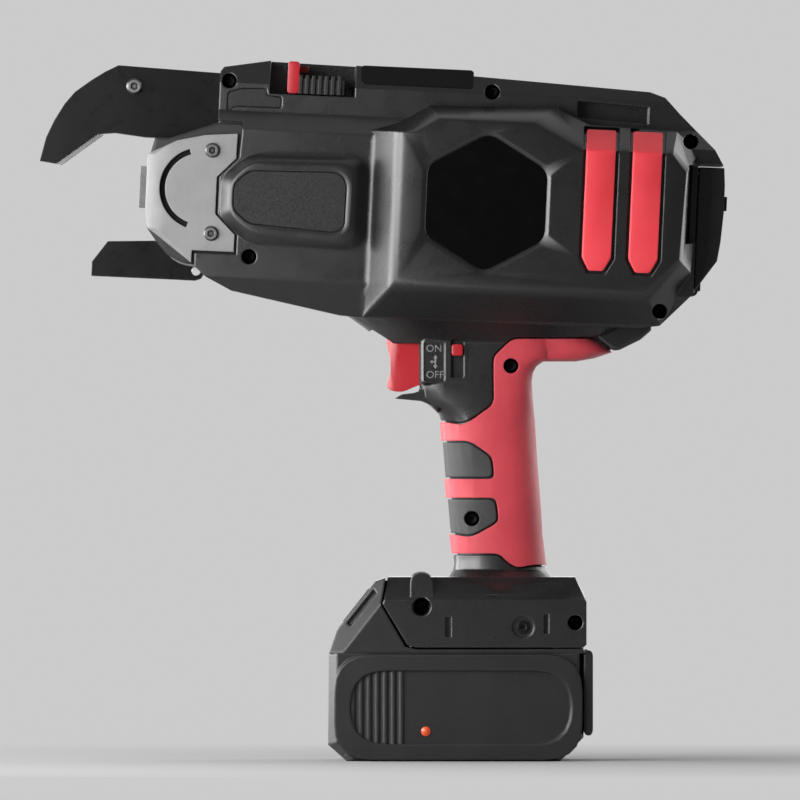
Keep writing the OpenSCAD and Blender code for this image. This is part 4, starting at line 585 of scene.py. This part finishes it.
def guide_springs():
    """A bent spring strip on each side, from the front of the frame back under the nose plates."""
    # The strip's middle, as X and Z
    line = [
        (-133.4, 231.0), (-131.9, 228.6), (-130.4, 226.0), (-128.9, 223.2), (-127.2, 220.6),
        (-125.2, 218.4), (-122.6, 216.8), (-119.6, 215.7), (-116.4, 215.2), (-113.0, 214.9),
        (-109.6, 214.8),
    ]
    thick, inner, outer = 1.1, 20.5, 29.4
    bm = bmesh.new()
    for y0, y1 in ((-outer, -inner), (inner, outer)):
        rings = []
        for k, (x, z) in enumerate(line):
            a, b = Vector(line[max(k - 1, 0)]), Vector(line[min(k + 1, len(line) - 1)])
            along = (b - a).normalized()
            side = Vector((along.y, -along.x)) * thick / 2
            rings.append([bm.verts.new(upright(x + s * side.x, z + s * side.y, y))
                          for s, y in ((1, y0), (1, y1), (-1, y1), (-1, y0))])
        bridge(bm, rings)
        bm.faces.new(rings[0])
        bm.faces.new(rings[-1])
    mesh = finish_mesh(bm, "guide_springs", bevel_mm=0.2)
    piece("guide_springs", mesh, dark_steel, "tool")


def neck_heel():
    """The neck's heel under the head, above the tail of the grip, and a web in front of it."""
    # Side outlines, as X and Z
    heel = [(58.0, 191.6), (82.0, 191.6), (83.1, 187.4), (78.0, 183.0), (69.0, 178.6),
            (66.2, 178.2), (58.0, 184.6)]
    web = [(46.0, 190.0), (66.0, 190.0), (67.4, 179.4), (64.2, 178.3), (54.0, 181.6),
           (46.0, 182.6)]
    bm = bmesh.new()
    for outline, half_width in ((heel, 12.4), (web, 6.5)):
        slab(bm, outline, -half_width, half_width, upright)
    mesh = finish_mesh(bm, "neck_heel", bevel_mm=1.2)
    piece("neck_heel", mesh, housing, "tool")


def nose_seal():
    """A dark lip on each side that closes the slit between the rail's front and the nose frame."""
    # Its ends along u and its edges along w
    front, back, low, high = -121.3, -111.2, 86.2, 87.9
    inner, outer = 27.0, 29.0
    outline = [(front, low), (back, low), (back, high), (front, high)]
    bm = bmesh.new()
    for y0, y1 in ((-outer, -inner), (inner, outer)):
        slab(bm, outline, y0, y1, head)
    piece("nose_seal", finish_mesh(bm, "nose_seal"), switch_plastic, "tool")


legend()
rail_film()
lamp()
guide_springs()
neck_heel()
nose_seal()


# Studio: a pale floor that fades into a pale surround, soft light from the left and behind

PALE = 0.6  # what shows of the surround
DIM = 0.12  # what the surround gives as light, and shows mirrored on the photographer's side
MIDDLE = (0, 0, 0.2)  # what the lamps point at
FLOOR_RINGS = (0.3, 1.0, 3.0, 30.0)
FLOOR_GLOW = (0.14, 0.5)  # how far from the middle the floor's glow begins and is full
# Mirrored, the room is dark on the photographer's side of the first Y and pale beyond the second
FLOOR_ROOM = (-1.6, 0.2)
SKY_ROOM = (-0.75, 0.1)


def seen(nodes, links, mirrored):
    """One for the rays that show the surround: camera and transmission rays, and glossy ones
    as far as mirrored."""

    def both(operation, a, b):
        n = nodes.new("ShaderNodeMath")
        n.operation = operation
        links.new(a, n.inputs[0])
        links.new(b, n.inputs[1])
        return n.outputs[0]

    path = nodes.new("ShaderNodeLightPath").outputs
    direct = both("MAXIMUM", path["Is Camera Ray"], path["Is Transmission Ray"])
    return both("MAXIMUM", direct, both("MULTIPLY", path["Is Glossy Ray"], mirrored))


def floor():
    """A paper disc that takes shadows near the tool and glows like the surround further out."""
    bm = bmesh.new()
    rings = [[bm.verts.new((r * c, r * s, 0)) for c, s in circle(steps=48)]
             for r in FLOOR_RINGS]
    bm.faces.new(rings[0])
    bridge(bm, rings)
    mesh = bpy.data.meshes.new("floor")
    bm.to_mesh(mesh)
    bm.free()
    o = bpy.data.objects.new("floor", mesh)
    scene.collection.objects.link(o)
    g = Graph("paper")
    g.colour(g.mix(g.noise(3, detail=3), grey(0.37), grey(0.39)))
    g.set(Roughness=0.9, Specular_IOR_Level=0.1)
    distance = g.nodes.new("ShaderNodeVectorMath")
    distance.operation = "LENGTH"
    g.link(g.coord, distance.inputs[0])
    far = g.span(distance.outputs["Value"], *FLOOR_GLOW)
    room = g.span(g.axis("Y"), *FLOOR_ROOM)
    glow = g.nodes.new("ShaderNodeEmission")
    glow.inputs["Strength"].default_value = PALE
    both = g.nodes.new("ShaderNodeMixShader")
    g.link(g.times(far, seen(g.nodes, g.links, room)), both.inputs[0])
    g.link(g.bsdf.outputs[0], both.inputs[1])
    g.link(glow.outputs[0], both.inputs[2])
    g.link(both.outputs[0], g.out.inputs["Surface"])
    mesh.materials.append(g.mat)


def surround():
    """A world that shows pale, lights little, and is darker where only mirrored rays see it."""
    world = bpy.data.worlds.new("studio")
    scene.world = world
    world.use_nodes = True
    nodes, links = world.node_tree.nodes, world.node_tree.links
    split = nodes.new("ShaderNodeSeparateXYZ")
    links.new(nodes.new("ShaderNodeTexCoord").outputs["Generated"], split.inputs[0])
    room = nodes.new("ShaderNodeMapRange")
    room.inputs["From Min"].default_value, room.inputs["From Max"].default_value = SKY_ROOM
    links.new(split.outputs["Y"], room.inputs["Value"])
    level = nodes.new("ShaderNodeMapRange")
    level.inputs["To Min"].default_value = DIM
    level.inputs["To Max"].default_value = PALE
    links.new(seen(nodes, links, room.outputs["Result"]), level.inputs["Value"])
    links.new(level.outputs["Result"], nodes["Background"].inputs["Strength"])
    nodes["Background"].inputs["Color"].default_value = (1, 1, 1, 1)


def area(name, place, size, power, target=MIDDLE):
    """A soft lamp that no picture shows."""
    data = bpy.data.lights.new(name, "AREA")
    data.shape = "RECTANGLE"
    data.size, data.size_y = size
    data.energy = power
    o = bpy.data.objects.new(name, data)
    o.location = place
    o.rotation_euler = (Vector(target) - Vector(place)).to_track_quat("-Z", "Y").to_euler()
    o.visible_camera = False
    scene.collection.objects.link(o)


floor()
surround()
area("front", (-0.34, -0.6, 0.27), size=(0.28, 0.4), power=3.0, target=(-0.06, 0, 0.21))
area("key", (-0.8, -0.35, 0.28), size=(0.9, 0.5), power=11.5, target=(-0.02, 0, 0.2))
area("side", (-0.85, 0.4, 0.26), size=(0.9, 0.8), power=12)
area("rear", (1.0, 0.45, 0.5), size=(1.1, 1.0), power=8)
area("back", (0.35, 1.4, 0.6), size=(1.6, 1.0), power=7)
scene.view_settings.view_transform = "Standard"

# Camera: square on to the left-hand side, from far enough for a flat view
VIEW_WIDTH = 0.3466  # across the picture at the tool's near side
VIEW_DISTANCE = 9.948  # from the camera to there
cam = bpy.data.cameras.new("camera")
cam.sensor_width = 36
cam.lens = cam.sensor_width * VIEW_DISTANCE / VIEW_WIDTH
cam.clip_end = 60
cam_o = bpy.data.objects.new("camera", cam)
cam_o.location = (-0.0266, -10.0, 0.1568)
cam_o.rotation_euler = (math.radians(90), 0, 0)
scene.collection.objects.link(cam_o)
scene.camera = cam_o
